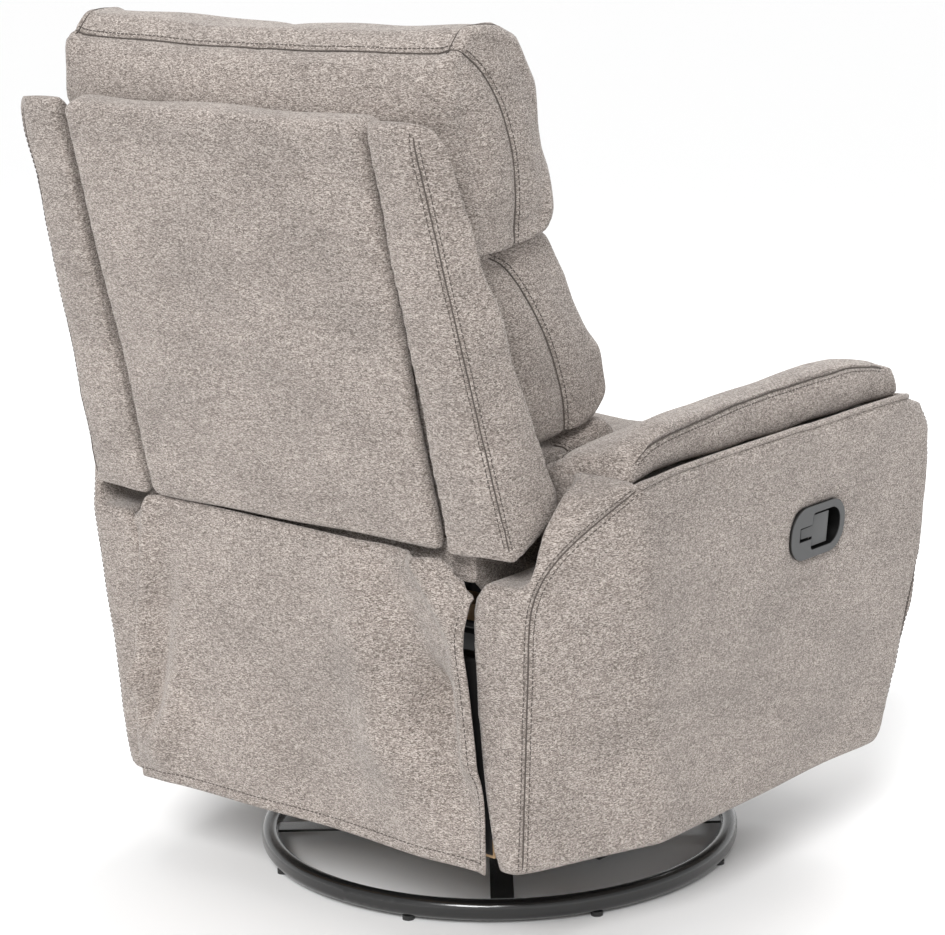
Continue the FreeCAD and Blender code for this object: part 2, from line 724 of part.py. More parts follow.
def build_springs():
    """Zigzag wires between the front and rear seat rails, each bent in the plane of the rails."""
    start_y = number("seat_rail_front_y + seat_rail_width")
    end_y = number("seat_rail_rear_y - seat_rail_width")
    turn_radius = number("spring_pitch") / 2
    straight = number("spring_half_width") - turn_radius
    wire_radius = number("spring_wire_radius")
    height = number("mech_top_z + seat_rail_thickness / 2")
    turns = int((end_y - start_y) / number("spring_pitch"))
    lead = (end_y - start_y - (turns - 1) * 2 * turn_radius) / 2
    springs = []
    for index in range(SPRING_COUNT):
        middle = (index - (SPRING_COUNT - 1) / 2) * number("spring_spacing")
        wire = zigzag(middle, start_y, lead, turns, turn_radius, straight, height)
        circle = Part.Circle(Vector(middle, start_y, height), Vector(0, 1, 0), wire_radius)
        section = Part.Wire([circle.toShape()])
        spring = doc.addObject("Part::Feature", f"seat_spring_{index + 1}")
        spring.Shape = wire.makePipeShell([section], True, False)
        springs.append(spring)
    group("seat_springs", springs)


def zigzag(middle, start_y, lead, turns, radius, straight, height):
    """A path along +Y from rail to rail: side-to-side runs joined by half circles."""
    edges = []
    y = start_y
    corner = Vector(middle, y + lead - radius, height)
    edges.append(Part.makeLine(Vector(middle, y, height), corner))
    side = 1
    bend = Vector(middle + radius * side * (1 - math.sqrt(0.5)),
                  corner.y + radius * math.sqrt(0.5), height)
    place = Vector(middle + radius * side, corner.y + radius, height)
    edges.append(Part.Arc(corner, bend, place).toShape())
    for index in range(turns - 1):
        run_end = Vector(middle + side * straight, place.y, height)
        if (run_end - place).Length > radius / 100:
            edges.append(Part.makeLine(place, run_end))
        tip = Vector(run_end.x + side * radius, run_end.y + radius, height)
        place = Vector(run_end.x, run_end.y + 2 * radius, height)
        edges.append(Part.Arc(run_end, tip, place).toShape())
        side = -side
    run_end = Vector(middle - side * radius, place.y, height)
    edges.append(Part.makeLine(place, run_end))
    bend = Vector(middle - side * radius * (1 - math.sqrt(0.5)),
                  run_end.y + radius * (1 - math.sqrt(0.5)), height)
    last = Vector(middle, run_end.y + radius, height)
    edges.append(Part.Arc(run_end, bend, last).toShape())
    edges.append(Part.makeLine(last, Vector(middle, last.y + lead - radius, height)))
    return Part.Wire(edges)


# ---------------------------------------------------------------------- arms
def splay_x(z):
    """The outer face of an arm at height z."""
    return f"( arm_foot_x + arm_splay * ( {z} - arm_bottom_z ) )"


def build_arm(side_name, side):
    """An upholstered arm: splayed outward, drawn in at the rear, and notched for the backrest."""
    name = f"arm_{side_name}"
    arm = new_body(f"{name}_block")
    levels = []
    for level, z, taper_y in (("low", "arm_bottom_z", "arm_taper_y"),
                              ("high", "arm_top_z", "arm_taper_top_y")):
        rise = f"( {z} - arm_bottom_z )"
        rear_x = f"( arm_rear_x + arm_splay * {rise} )"
        rear_y = f"arm_rear_y + arm_rear_lean * {rise}"
        plan = new_sketch(arm, f"{name}_plan_{level}", "XY_Plane", z)
        draw_polygon(plan, [(f"{side} * arm_inner_x", "arm_front_y"),
                            (f"{side} * {splay_x(z)}", "arm_front_y"),
                            (f"{side} * {splay_x(z)}", taper_y),
                            (f"{side} * {rear_x}", rear_y),
                            (f"{side} * arm_inner_x", rear_y)])
        levels.append(plan)
    loft = arm.newObject("PartDesign::AdditiveLoft", f"{name}_loft")
    loft.Profile = levels[0]
    loft.Sections = [levels[1]]
    loft.Ruled = True
    trim = new_sketch(arm, f"{name}_trim", "YZ_Plane")
    draw_polygon(trim, outline_corners("arm_side"))
    draw_rectangle(trim, "-1 * trim_margin", "trim_margin", "-1 * trim_margin",
                   "2 * trim_margin")
    trimmed = pocket(arm, trim)
    round_edges(arm, trimmed, "arm_round", keep=lambda edge: outer_edge(edge, side))
    notch = new_sketch(arm, f"{name}_notch", "YZ_Plane", f"{side} * arm_notch_x")
    draw_rectangle(notch, "arm_notch_y", "trim_margin", "arm_notch_z", "2 * trim_margin")
    pocket(arm, notch, "arm_notch_x", flip=side < 0)
    return arm


def outer_edge(edge, side):
    """Whether an edge of an arm runs round its outer face."""
    limit = number("arm_rear_x") - 1
    return all(side * vertex.Point.x > limit for vertex in edge.Vertexes)


def cup_frame():
    """The handle's own frame: U forward, V up along the arm's outer face, W outward."""
    splay = number("arm_splay")
    outward = Vector(-1, 0, -splay).normalize()
    forward = Vector(0, -1, 0)
    up = outward.cross(forward)
    matrix = FreeCAD.Matrix(forward.x, up.x, outward.x, 0, forward.y, up.y, outward.y, 0,
                            forward.z, up.z, outward.z, 0, 0, 0, 0, 1)
    centre = Vector(-number(splay_x("cup_z")), number("cup_y"), number("cup_z"))
    return Placement(centre, Rotation(matrix))


def build_arms():
    left = build_arm("left", 1)
    sub_part(left, "arm_left")
    right_block = build_arm("right", -1)
    well = doc.addObject("Part::Box", "handle_well")
    gap = "cup_wall + soft_gap"
    bind(well, Length=f"recess_front - slot_rear + 2 * ( {gap} )",
         Width=f"2 * ( recess_half_height + {gap} )", Height="2 * cup_depth + soft_gap")
    corner = Vector(number(f"slot_rear - ( {gap} )"), -number(f"recess_half_height + {gap}"),
                    -number("cup_depth + soft_gap"))
    well.Placement = cup_frame().multiply(Placement(corner, Rotation()))
    right = doc.addObject("Part::Cut", "arm_right")
    right.Base = right_block
    right.Tool = well
    sub_part(right, "arm_right")
    for side_name, side in SIDES.items():
        name = f"arm_pad_{side_name}"
        cushion, block = side_plate(name, side, outline_corners("arm_pad"), "pad_inner_x",
                                    "pad_outer_x - pad_inner_x")
        round_edges(cushion, block, "pad_round", keep=lambda edge: edge.BoundBox.XLength < 1)
        sub_part(cushion, name)


# -------------------------------------------------------------------- handle
def build_handle():
    bezel = new_body("handle_bezel")
    bezel.Placement = cup_frame()
    rim = new_sketch(bezel, "bezel_rim", "XY_Plane", "cup_seat_gap")
    rounded_section(rim, "0", "0", "cup_length", "cup_height", "cup_corner")
    pad(bezel, rim, "cup_proud - cup_seat_gap")
    cup = new_sketch(bezel, "bezel_cup", "XY_Plane", "-1 * cup_depth")
    draw_rectangle(cup, "slot_rear - cup_wall", "recess_front + cup_wall",
                   "-1 * ( recess_half_height + cup_wall )", "recess_half_height + cup_wall")
    pad(bezel, cup, "cup_depth + cup_seat_gap")
    for end, rear, front in (("rear", "recess_rear", "recess_shoulder"),
                             ("front", "0", "recess_front")):
        recess = new_sketch(bezel, f"bezel_recess_{end}", "XY_Plane", "cup_proud")
        rounded_section(recess, f"( {rear} + {front} ) / 2", "0", f"{front} - ( {rear} )",
                        "2 * recess_half_height", f"recess_{end}_corner")
        pocket(bezel, recess, "cup_proud + cup_depth - cup_wall")
    slot = new_sketch(bezel, "bezel_slot", "XY_Plane", "cup_proud")
    draw_rectangle(slot, "slot_rear", "0", "-1 * slot_half_height", "slot_half_height")
    pocket(bezel, slot, "cup_proud + slot_depth")
    pin_holes = new_sketch(bezel, "bezel_pin_holes", "XZ_Plane", "0 - paddle_pin_half_length")
    draw_circle(pin_holes, "paddle_pin_u", "paddle_pin_w", "paddle_pin_radius")
    pocket(bezel, pin_holes, "2 * paddle_pin_half_length", flip=True)
    sub_part(bezel, "handle_bezel")

    paddle = new_body("handle_paddle")
    paddle.Placement = cup_frame()
    face = new_sketch(paddle, "paddle_face", "XY_Plane", "paddle_face - paddle_thickness")
    stem, head = "paddle_stem_half", "paddle_head_half"
    draw_polygon(face, [("paddle_stem_rear", f"-1 * {stem}"), ("paddle_head_rear", f"-1 * {stem}"),
                        ("paddle_head_rear", f"-1 * {head}"), ("paddle_head_front", f"-1 * {head}"),
                        ("paddle_head_front", head), ("paddle_head_rear", head),
                        ("paddle_head_rear", stem), ("paddle_stem_rear", stem)])
    pad(paddle, face, "paddle_thickness")
    barrel_start = "paddle_stem_half - paddle_barrel_length"
    barrel = new_sketch(paddle, "paddle_barrel", "XZ_Plane", barrel_start)
    draw_circle(barrel, "paddle_pin_u", "paddle_pin_w", "paddle_barrel_radius")
    pad(paddle, barrel, "paddle_barrel_length")
    neck = new_sketch(paddle, "paddle_neck", "XZ_Plane", barrel_start)
    draw_rectangle(neck, "paddle_pin_u - paddle_barrel_radius",
                   "paddle_pin_u + paddle_barrel_radius", "paddle_pin_w",
                   "paddle_face - paddle_thickness / 2")
    pad(paddle, neck, "paddle_barrel_length")
    bore = new_sketch(paddle, "paddle_bore", "XZ_Plane")
    draw_circle(bore, "paddle_pin_u", "paddle_pin_w", "paddle_pin_radius + running_clearance")
    pocket(paddle, bore)
    sub_part(paddle, "handle_paddle")

    pin = doc.addObject("Part::Cylinder", "handle_pin")
    bind(pin, Radius="paddle_pin_radius", Height="2 * paddle_pin_half_length")
    along_v = Placement(Vector(number("paddle_pin_u"), number("paddle_pin_half_length"),
                               number("paddle_pin_w")), Rotation(Vector(1, 0, 0), 90))
    pin.Placement = cup_frame().multiply(along_v)
    sub_part(pin, "handle_pin")

    coils = []
    for index in range(SPRING_TURNS):
        coil = doc.addObject("Part::Torus", f"handle_spring_turn_{index + 1}")
        bind(coil, Radius1="handle_spring_radius", Radius2="handle_spring_wire")
        step = number("slot_half_height") - number("handle_spring_wire") * (1.2 + 2.1 * index)
        along_v = Placement(Vector(number("paddle_pin_u"), step, number("paddle_pin_w")),
                            Rotation(Vector(1, 0, 0), 90))
        coil.Placement = cup_frame().multiply(along_v)
        coils.append(coil)
    group("handle_spring", coils)


# ------------------------------------------------------------------ backrest
def build_backrest():
    for side_name, side in SIDES.items():
        name = f"back_bracket_{side_name}"
        bracket = new_body(name)
        start = side_start(side, "back_bracket_inner_x", "plate_thickness")
        eye = new_sketch(bracket, f"{name}_eye", "YZ_Plane", start)
        draw_circle(eye, "recline_y", "recline_z", "recline_eye_radius")
        pad(bracket, eye, "plate_thickness")
        blade = new_sketch(bracket, f"{name}_blade", "YZ_Plane", start)
        draw_polygon(blade, outline_corners("back_bracket"))
        pad(bracket, blade, "plate_thickness")
        bore = new_sketch(bracket, f"{name}_bore", "YZ_Plane")
        draw_circle(bore, "recline_y", "recline_z", "recline_pin_radius + running_clearance")
        pocket(bracket, bore)
        sub_part(bracket, name)

        build_wing(side_name, side)

    pins = [stepped_pin(f"recline_pin_{side_name}", side, "recline_y", "recline_z", [
        ("back_bracket_inner_x - plate_thickness", "back_bracket_inner_x - soft_gap",
         "recline_eye_radius - pin_radius"),
        ("back_bracket_inner_x - soft_gap", "arm_board_inner_x", "recline_pin_radius")])
        for side_name, side in SIDES.items()]
    group("recline_pins", pins)

    sub_part(box("back_rail", "-1 * back_bracket_inner_x", "back_bracket_inner_x",
                 "back_rail_front_y", "back_rail_rear_y", "back_rail_bottom_z",
                 "back_rail_top_z"), "back_rail")
    for name, half_width in (("back_board", "back_board_half_width"),
                             ("back_panel", "panel_half_width")):
        slab, _ = full_width(name, outline_corners(name), half_width)
        sub_part(slab, name)
    for name, half_width in (("headrest_pillow", "headrest_half_width"),
                             ("middle_pillow", "middle_half_width"),
                             ("lower_pillow", "lower_half_width")):
        pillow, block = full_width(name, outline_corners(name), half_width)
        round_edges(pillow, block, "pillow_round",
                    keep=lambda edge: edge.BoundBox.XLength < 1)
        sub_part(pillow, name)


def build_wing(side_name, side):
    """A side bolster of the backrest, wider at the foot than at the top."""
    name = f"wing_{side_name}"
    wing, block = side_plate(name, side, outline_corners("wing"), "wing_inner_x",
                             "wing_foot_x - wing_inner_x")
    trim = new_sketch(wing, f"{name}_trim", "XZ_Plane")
    top_z = f"wing_z_{len(OUTLINES['wing']) - 1}"
    draw_polygon(trim, [(f"{side} * wing_foot_x", "wing_z_1"), (f"{side} * wing_top_x", top_z),
                        (f"{side} * wing_top_x", f"{top_z} + wing_round"),
                        (f"{side} * ( wing_foot_x + wing_round )", f"{top_z} + wing_round"),
                        (f"{side} * ( wing_foot_x + wing_round )", "wing_z_1")])
    pocket(wing, trim)
    sub_part(wing, name)


# ------------------------------------------------------------------- curtain
def build_curtain():
    curtain = new_body("back_curtain")
    sketch = new_sketch(curtain, "curtain_edge", "YZ_Plane", "-1 * curtain_right_x")
    draw_polygon(sketch, outline_corners("back_curtain"))
    pad(curtain, sketch, "curtain_right_x + curtain_left_x")
    sub_part(curtain, "back_curtain")


# ------------------------------------------------------------------ footrest
ELBOW_Z = "lift_z - rear_link_length"
FOOT_HINGE_Z = f"{ELBOW_Z} + front_link_length"


def build_footrest():
    tube_end = "( arm_board_inner_x - soft_gap )"
    sub_part(rod("lift_tube", f"-1 * {tube_end}", tube_end, "lift_y", "lift_z",
                 "lift_tube_radius"), "lift_tube")
    running_hole = "pin_radius + running_clearance"
    rear_links = []
    front_links = []
    brackets = []
    elbows = []
    hinges = []
    for side_name, side in SIDES.items():
        name = f"foot_link_rear_{side_name}"
        rear = new_body(name)
        sketch = new_sketch(rear, f"{name}_outline", "YZ_Plane",
                            side_start(side, "rear_link_inner_x", "plate_thickness"))
        draw_link(sketch, "lift_y", "lift_z", "lift_y", ELBOW_Z, "rear_link_half_width",
                  "lift_tube_radius", "pin_radius")
        pad(rear, sketch, "plate_thickness")
        rear_links.append(rear)

        name = f"foot_link_front_{side_name}"
        front = new_body(name)
        sketch = new_sketch(front, f"{name}_outline", "YZ_Plane",
                            side_start(side, "front_link_inner_x", "plate_thickness"))
        draw_link(sketch, "lift_y", FOOT_HINGE_Z, "lift_y", ELBOW_Z, "link_half_width",
                  running_hole, running_hole)
        pad(front, sketch, "plate_thickness")
        front_links.append(front)

        name = f"foot_bracket_{side_name}"
        bracket = new_body(name)
        start = side_start(side, "foot_bracket_inner_x", "plate_thickness")
        eye = new_sketch(bracket, f"{name}_eye", "YZ_Plane", start)
        draw_circle(eye, "lift_y", FOOT_HINGE_Z, "link_half_width")
        pad(bracket, eye, "plate_thickness")
        blade = new_sketch(bracket, f"{name}_blade", "YZ_Plane", start)
        draw_polygon(blade, outline_corners("foot_bracket"))
        pad(bracket, blade, "plate_thickness")
        bore = new_sketch(bracket, f"{name}_bore", "YZ_Plane")
        draw_circle(bore, "lift_y", FOOT_HINGE_Z, "pin_radius")
        pocket(bracket, bore)
        brackets.append(bracket)

        elbows.append(stepped_pin(f"elbow_pin_{side_name}", side, "lift_y", ELBOW_Z, [
            ("front_link_inner_x - plate_thickness", "front_link_inner_x - soft_gap",
             "foot_pin_head_radius"),
            ("front_link_inner_x - soft_gap", "rear_link_inner_x + plate_thickness", "pin_radius")]))
        hinges.append(stepped_pin(f"hinge_pin_{side_name}", side, "lift_y", FOOT_HINGE_Z, [
            ("foot_bracket_inner_x", "foot_bracket_inner_x + plate_thickness", "pin_radius"),
            ("foot_bracket_inner_x + plate_thickness", "front_link_inner_x - soft_gap",
             "pin_head_radius"),
            ("front_link_inner_x - soft_gap", "front_link_inner_x + plate_thickness + soft_gap",
             "pin_radius")]))
    for name, members in (("foot_rear_links", rear_links), ("foot_front_links", front_links),
                          ("foot_brackets", brackets), ("foot_elbow_pins", elbows),
                          ("foot_hinge_pins", hinges)):
        group(name, members)

    board_front = "( foot_board_rear_y - foot_board_thickness )"
    sub_part(box("foot_board", "-1 * foot_half_width", "foot_half_width", board_front,
                 "foot_board_rear_y", "foot_board_bottom_z", "foot_board_top_z"), "foot_board")
    pad_rear = f"{board_front} - soft_gap"
    cushion, block = full_width("foot_pad", [
        (f"{pad_rear} - foot_pad_thickness", "foot_board_bottom_z - foot_pad_overhang"),
        (pad_rear, "foot_board_bottom_z - foot_pad_overhang"),
        (pad_rear, "foot_board_top_z + foot_pad_overhang"),
        (f"{pad_rear} - foot_pad_thickness", "foot_board_top_z + foot_pad_overhang")],
        "foot_half_width")
    round_edges(cushion, block, "foot_pad_round")
    sub_part(cushion, "foot_pad")


build_base()
build_glider()
build_platform()
build_arms()
build_handle()
build_backrest()
build_curtain()
build_footrest()
doc.recompute()

# ------------------------------------------------------------ test and write
broken = [item.Label for item in doc.Objects if {"Invalid", "Error"} & set(item.State)]
if broken:
    raise RuntimeError(f"these objects failed to build: {broken}")
for item in sub_parts:
    if item.Shape.isNull() or not item.Shape.isValid() or not item.Shape.Solids:
        raise RuntimeError(f"{item.Label} has no valid solid")
for item in sub_parts:
    item.Shape.exportStep(f"parts/{item.Label}.step")
print(f"wrote {len(sub_parts)} sub-parts")
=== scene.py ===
import json
import math

import bpy
import numpy as np
from mathutils import Matrix, Vector
from mathutils.bvhtree import BVHTree
from mathutils.kdtree import KDTree


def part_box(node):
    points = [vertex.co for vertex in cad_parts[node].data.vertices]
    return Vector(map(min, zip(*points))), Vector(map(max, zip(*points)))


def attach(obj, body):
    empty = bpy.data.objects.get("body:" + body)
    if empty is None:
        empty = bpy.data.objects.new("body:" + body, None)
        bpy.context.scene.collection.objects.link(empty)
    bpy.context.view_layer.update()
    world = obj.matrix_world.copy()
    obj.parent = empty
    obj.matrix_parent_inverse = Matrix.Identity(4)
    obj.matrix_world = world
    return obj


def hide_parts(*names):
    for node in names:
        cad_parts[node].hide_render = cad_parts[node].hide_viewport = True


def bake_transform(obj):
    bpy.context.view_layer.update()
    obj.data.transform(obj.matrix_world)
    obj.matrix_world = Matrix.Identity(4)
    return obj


# Visual model of the swivel glider chair, in metres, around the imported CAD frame.
# The sitter faces -Y and +Z is up. Soft pieces start from their CAD solids, are
# remeshed, blown up as cloth, fitted back to their CAD boxes and then sewn.

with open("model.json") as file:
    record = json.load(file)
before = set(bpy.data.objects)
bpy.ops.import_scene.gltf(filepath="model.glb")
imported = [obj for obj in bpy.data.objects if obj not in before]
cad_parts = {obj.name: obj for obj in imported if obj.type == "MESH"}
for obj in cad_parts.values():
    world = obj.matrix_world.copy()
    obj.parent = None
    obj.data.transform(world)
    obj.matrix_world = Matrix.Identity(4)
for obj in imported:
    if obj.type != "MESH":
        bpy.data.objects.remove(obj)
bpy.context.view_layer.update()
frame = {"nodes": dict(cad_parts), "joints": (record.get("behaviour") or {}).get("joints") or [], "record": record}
scene = bpy.context.scene

# ---------------------------------------------------------------- dimensions
FINE_VOXEL = 0.005
VOXEL = 0.006
SHELL_VOXEL = 0.007
SIM_FRAMES = 20
PRESSURE = 4.0
BACK_LEAN = math.radians(13.2)

SEAM_DEPTH = 0.0022
SEAM_HALF_WIDTH = 0.0022
VALLEY_DEPTH = 0.003
VALLEY_HALF_WIDTH = 0.011
STITCH_PITCH = 0.0062
STITCH_LENGTH = 0.0044
STITCH_RADIUS = 0.00055
# painted seam shade: radius of the dark tube laid in each seam's groove, and how deep it sits as a share of the
# seam's pull
SEAM_SHADE_RADIUS = 0.0008
SEAM_SHADE_SINK = 0.74
ROW_OFFSET = 0.0048
WELT_RADIUS = 0.0034
PATH_STEP = 0.003
PAD_SUNK = 0.014
PAD_WELL_RIM = 0.004
PAD_WELL_OUTER_INSET = 0.003
PAD_OUTER_CLEAR = 0.005
ARM_REAR_BULGE = 0.029
BRACKET_CLEAR_X = 0.2562
WING_FLARE = 0.026
WING_CORNER = 0.013
PAD_CROWN_X = 0.385
PAD_HEIGHT_SHARE = 0.82
PILLOW_GAP = 0.0006
PADDLE_TRIM = 0.0030
SHADE_SHEET_TOP = 0.347
TUBE_REFERENCE = (0.13, 0.21, 0.97)
TUBE_TIP_SHARE = 0.35
RUBBED_GAIN = 1.3
PILLOW_CORNER_LIFT = 0.018
WING_OUTER_TOP = 0.289
WING_OUTER_BOTTOM = 0.318
FLAP_HEM_Z = 0.1165
FLAP_THICKNESS = 0.0024
SHADE_SHEET_INNER_X = 0.214
SHADE_SHEET_THICKNESS = 0.0008
HALF_FLOOR = 80
CAMERA_PLACE = Vector((-2.13074, 2.46392, 1.24215))
CAMERA_AZIMUTH = math.radians(220.64)
CAMERA_ELEVATION = math.radians(13.26)
CAMERA_ROLL = math.radians(-1.21)
CAMERA_LENS = 108.63
CAMERA_SENSOR = 36
SUN_ENERGY = 2.6
SUN_SPREAD = math.radians(22)
SUN_WAY = Vector((0.38, -0.75, -0.62))

# How the soft pieces behave while they are blown up.
CLOTH_SETTINGS = {"quality": 4, "mass": 0.3, "tension_stiffness": 12, "compression_stiffness": 12,
                  "shear_stiffness": 4, "bending_stiffness": 0.6, "use_pressure": True,
                  "uniform_pressure_force": PRESSURE}

# Seams on the sides of the pillows and pads, as shares of the CAD box from its
# front to its back and from its bottom to its top.
HEADREST_SEAM = [(0.88, 0.90), (0.72, 0.84), (0.55, 0.66), (0.44, 0.44), (0.41, 0.26), (0.38, 0.02)]
MIDDLE_SEAM = [(0.79, 0.985), (0.70, 0.95), (0.60, 0.80), (0.50, 0.63), (0.40, 0.44), (0.31, 0.20),
               (0.285, 0.02)]
LOWER_SEAM = [(0.55, 0.97), (0.50, 0.85), (0.41, 0.55), (0.37, 0.27), (0.345, 0.03)]
PAD_SEAM = [(0.985, 0.26), (0.92, 0.35), (0.79, 0.43), (0.57, 0.59), (0.42, 0.64), (0.19, 0.73),
            (0.06, 0.55)]

# The arm's rear corner seam: distance from the middle, in from the rear, up from the bottom.
ARM_REAR_SEAM = [(0.303, 0.021, 0.004), (0.3195, 0.013, 0.206), (0.329, 0.008, 0.308),
                 (0.338, 0.016, 0.335), (0.351, 0.033, 0.361), (0.372, 0.064, 0.390),
                 (0.398, 0.101, 0.422)]

SIDES = {"right": -1, "left": 1}


# ---------------------------------------------------------------- mesh tools
def link(name, mesh):
    piece = bpy.data.objects.new(name, mesh)
    scene.collection.objects.link(piece)
    return piece


def places(mesh):
    """Vertex positions as an N by 3 array."""
    flat = np.empty(len(mesh.vertices) * 3)
    mesh.vertices.foreach_get("co", flat)
    return flat.reshape(-1, 3)


def directions(mesh):
    """Vertex normals as an N by 3 array."""
    flat = np.empty(len(mesh.vertices) * 3)
    mesh.vertices.foreach_get("normal", flat)
    return flat.reshape(-1, 3)


def move_to(mesh, points):
    mesh.vertices.foreach_set("co", np.ascontiguousarray(points).ravel())
    mesh.update()


def smooth_shade(mesh):
    mesh.polygons.foreach_set("use_smooth", np.ones(len(mesh.polygons), bool))


def modified(piece, kind, **settings):
    """Add one modifier with these settings and apply it."""
    modifier = piece.modifiers.new(kind.lower(), kind)
    for name, value in settings.items():
        setattr(modifier, name, value)
    graph = bpy.context.evaluated_depsgraph_get()
    mesh = bpy.data.meshes.new_from_object(piece.evaluated_get(graph))
    piece.modifiers.clear()
    piece.data = mesh
    smooth_shade(mesh)
    return piece


def subdivided(piece):
    return modified(piece, "SUBSURF", levels=1, render_levels=1)


def remeshed(piece, voxel, smoothing):
    """An even quad skin over the piece, with its corners smoothed a little."""
    modified(piece, "REMESH", mode="VOXEL", voxel_size=voxel, use_smooth_shade=True)
    return modified(piece, "SMOOTH", factor=0.5, iterations=smoothing)


def ends_of(box):
    """The two corners of a box as arrays."""
    return [np.array(end) for end in box]


def tree_of(piece):
    points = [vertex.co for vertex in piece.data.vertices]
    faces = [tuple(face.vertices) for face in piece.data.polygons]
    return BVHTree.FromPolygons(points, faces)


def evened(path, step=PATH_STEP):
    """The same line with its points an even distance apart."""
    run = np.concatenate(([0], np.cumsum(np.linalg.norm(np.diff(path, axis=0), axis=1))))
    stations = np.linspace(0, run[-1], max(3, int(run[-1] / step) + 1))
    return np.stack([np.interp(stations, run, path[:, axis]) for axis in range(3)], axis=1)


def relaxed(path, rounds):
    """A line of points or directions evened out along itself, its ends kept."""
    path = path.copy()
    for _ in range(rounds):
        path[1:-1] = 0.5 * path[1:-1] + 0.25 * (path[:-2] + path[2:])
    return path


def curve(points, rounding=40):
    """A line through the points, sampled evenly, with its corners rounded off."""
    return relaxed(evened(np.array(points, float)), rounding)


def snapped(path, tree):
    """The surface points and normals nearest to a path's points, evenly spaced."""
    on_surface = evened(np.array([tree.find_nearest(Vector(point))[0] for point in path]))
    on_surface = evened(relaxed(on_surface, 12))
    found = [tree.find_nearest(Vector(point)) for point in on_surface]
    points = relaxed(np.array([hit[0] for hit in found]), 4)
    normals = relaxed(np.array([hit[1] for hit in found]), 8)
    return points, normals / np.linalg.norm(normals, axis=1)[:, None]


def ripple(points, wavelength, height, seed):
    """Soft uneven waves, worth about height at most."""
    random = np.random.default_rng(seed)
    total = np.zeros(len(points))
    waves = 7
    for _ in range(waves):
        way = random.normal(size=3)
        way *= 2 * math.pi / (np.linalg.norm(way) * wavelength * random.uniform(0.7, 1.4))
        total += np.sin(points @ way + random.uniform(0, 2 * math.pi))
    return total * height / math.sqrt(waves)


def along_path(path):
    """Unit vectors that point ahead along a path."""
    ahead = np.gradient(path, axis=0)
    return ahead / np.linalg.norm(ahead, axis=1)[:, None]


def tube_faces(rings, sides, base=0):
    """Faces of a closed tube whose rings of vertices follow one another from base on."""
    faces = []
    for row in range(rings - 1):
        for column in range(sides):
            following = (column + 1) % sides
            faces.append((base + row * sides + column, base + row * sides + following,
                          base + (row + 1) * sides + following, base + (row + 1) * sides + column))
    faces.append(tuple(base + column for column in range(sides))[::-1])
    faces.append(tuple(base + (rings - 1) * sides + column for column in range(sides)))
    return faces


def tube(path, radius, sides=10):
    """Vertices and faces of a closed round tube along one path."""
    ahead = along_path(path)
    side = np.cross(ahead, TUBE_REFERENCE)
    side /= np.linalg.norm(side, axis=1)[:, None]
    over = np.cross(side, ahead)
    turn = np.linspace(0, 2 * math.pi, sides, endpoint=False)
    ring = (np.cos(turn)[None, :, None] * side[:, None, :]
            + np.sin(turn)[None, :, None] * over[:, None, :])
    size = np.full(len(path), radius)
    size[0] = size[-1] = radius * TUBE_TIP_SHARE
    points = (path[:, None, :] + ring * size[:, None, None]).reshape(-1, 3)
    return points, tube_faces(len(path), sides)


def grid_faces(rows, columns, flipped=False):
    """Faces of a grid of vertices laid out row after row."""
    faces = []
    for row in range(rows - 1):
        for first in range(row * columns, (row + 1) * columns - 1):
            corners = (first, first + 1, first + columns + 1, first + columns)
            faces.append((corners[0], *corners[:0:-1]) if flipped else corners)
    return faces


def build(name, points, faces):
    mesh = bpy.data.meshes.new(name)
    mesh.from_pydata([tuple(point) for point in points], [], faces)
    mesh.update()
    smooth_shade(mesh)
    return link(name, mesh)


# ------------------------------------------------------------------ sewing
threads = {}
# dark tubes along the seams, by body: painted shade in the seam grooves
seam_shade_lines = {}


def stitch(body, points, normals):
    """One row of thread stitches along a path that lies on a surface."""
    lengths = np.linalg.norm(np.diff(points, axis=0), axis=1)
    run = np.concatenate(([0], np.cumsum(lengths)))
    starts = np.arange(0, run[-1] - STITCH_LENGTH, STITCH_PITCH)
    made = threads.setdefault(body, [])
    for start in starts:
        ends = []
        for at in (start, start + STITCH_LENGTH / 2, start + STITCH_LENGTH):
            ends.append([np.interp(at, run, points[:, axis]) for axis in range(3)])
        middle_normal = [np.interp(start, run, normals[:, axis]) for axis in range(3)]
        made.append((np.array(ends), np.array(middle_normal)))


def sew(piece, body, points, rows=(), depth=SEAM_DEPTH, half_width=SEAM_HALF_WIDTH,
        valley=VALLEY_DEPTH):
    """Pull the surface in along a seam, lay a dark tube of painted shade in its groove, and stitch rows of thread
    beside it.
    """
    mesh = piece.data
    path, normals = snapped(curve(points), tree_of(piece))
    # the dark tube in the groove is painted shade along the seam
    seam_shade_lines.setdefault(body, []).append(path - normals * (depth + valley) * SEAM_SHADE_SINK)
    lookup = KDTree(len(path))
    for index, point in enumerate(path):
        lookup.insert(point, index)
    lookup.balance()
    at = places(mesh)
    reach = 3 * VALLEY_HALF_WIDTH
    near = np.all((at > path.min(0) - reach) & (at < path.max(0) + reach), axis=1)
    chosen = np.flatnonzero(near)
    distance = np.array([lookup.find(point)[2] for point in at[chosen]])
    inward = depth * np.exp(-0.5 * (distance / half_width) ** 2)
    inward += valley * np.exp(-0.5 * (distance / VALLEY_HALF_WIDTH) ** 2)
    at[chosen] -= directions(mesh)[chosen] * inward[:, None]
    move_to(mesh, at)
    if not rows:
        return
    tree = tree_of(piece)
    beside = np.cross(along_path(path), normals)
    for offset in rows:
        row, row_normals = snapped(path + beside * offset, tree)
        stitch(body, row, row_normals)


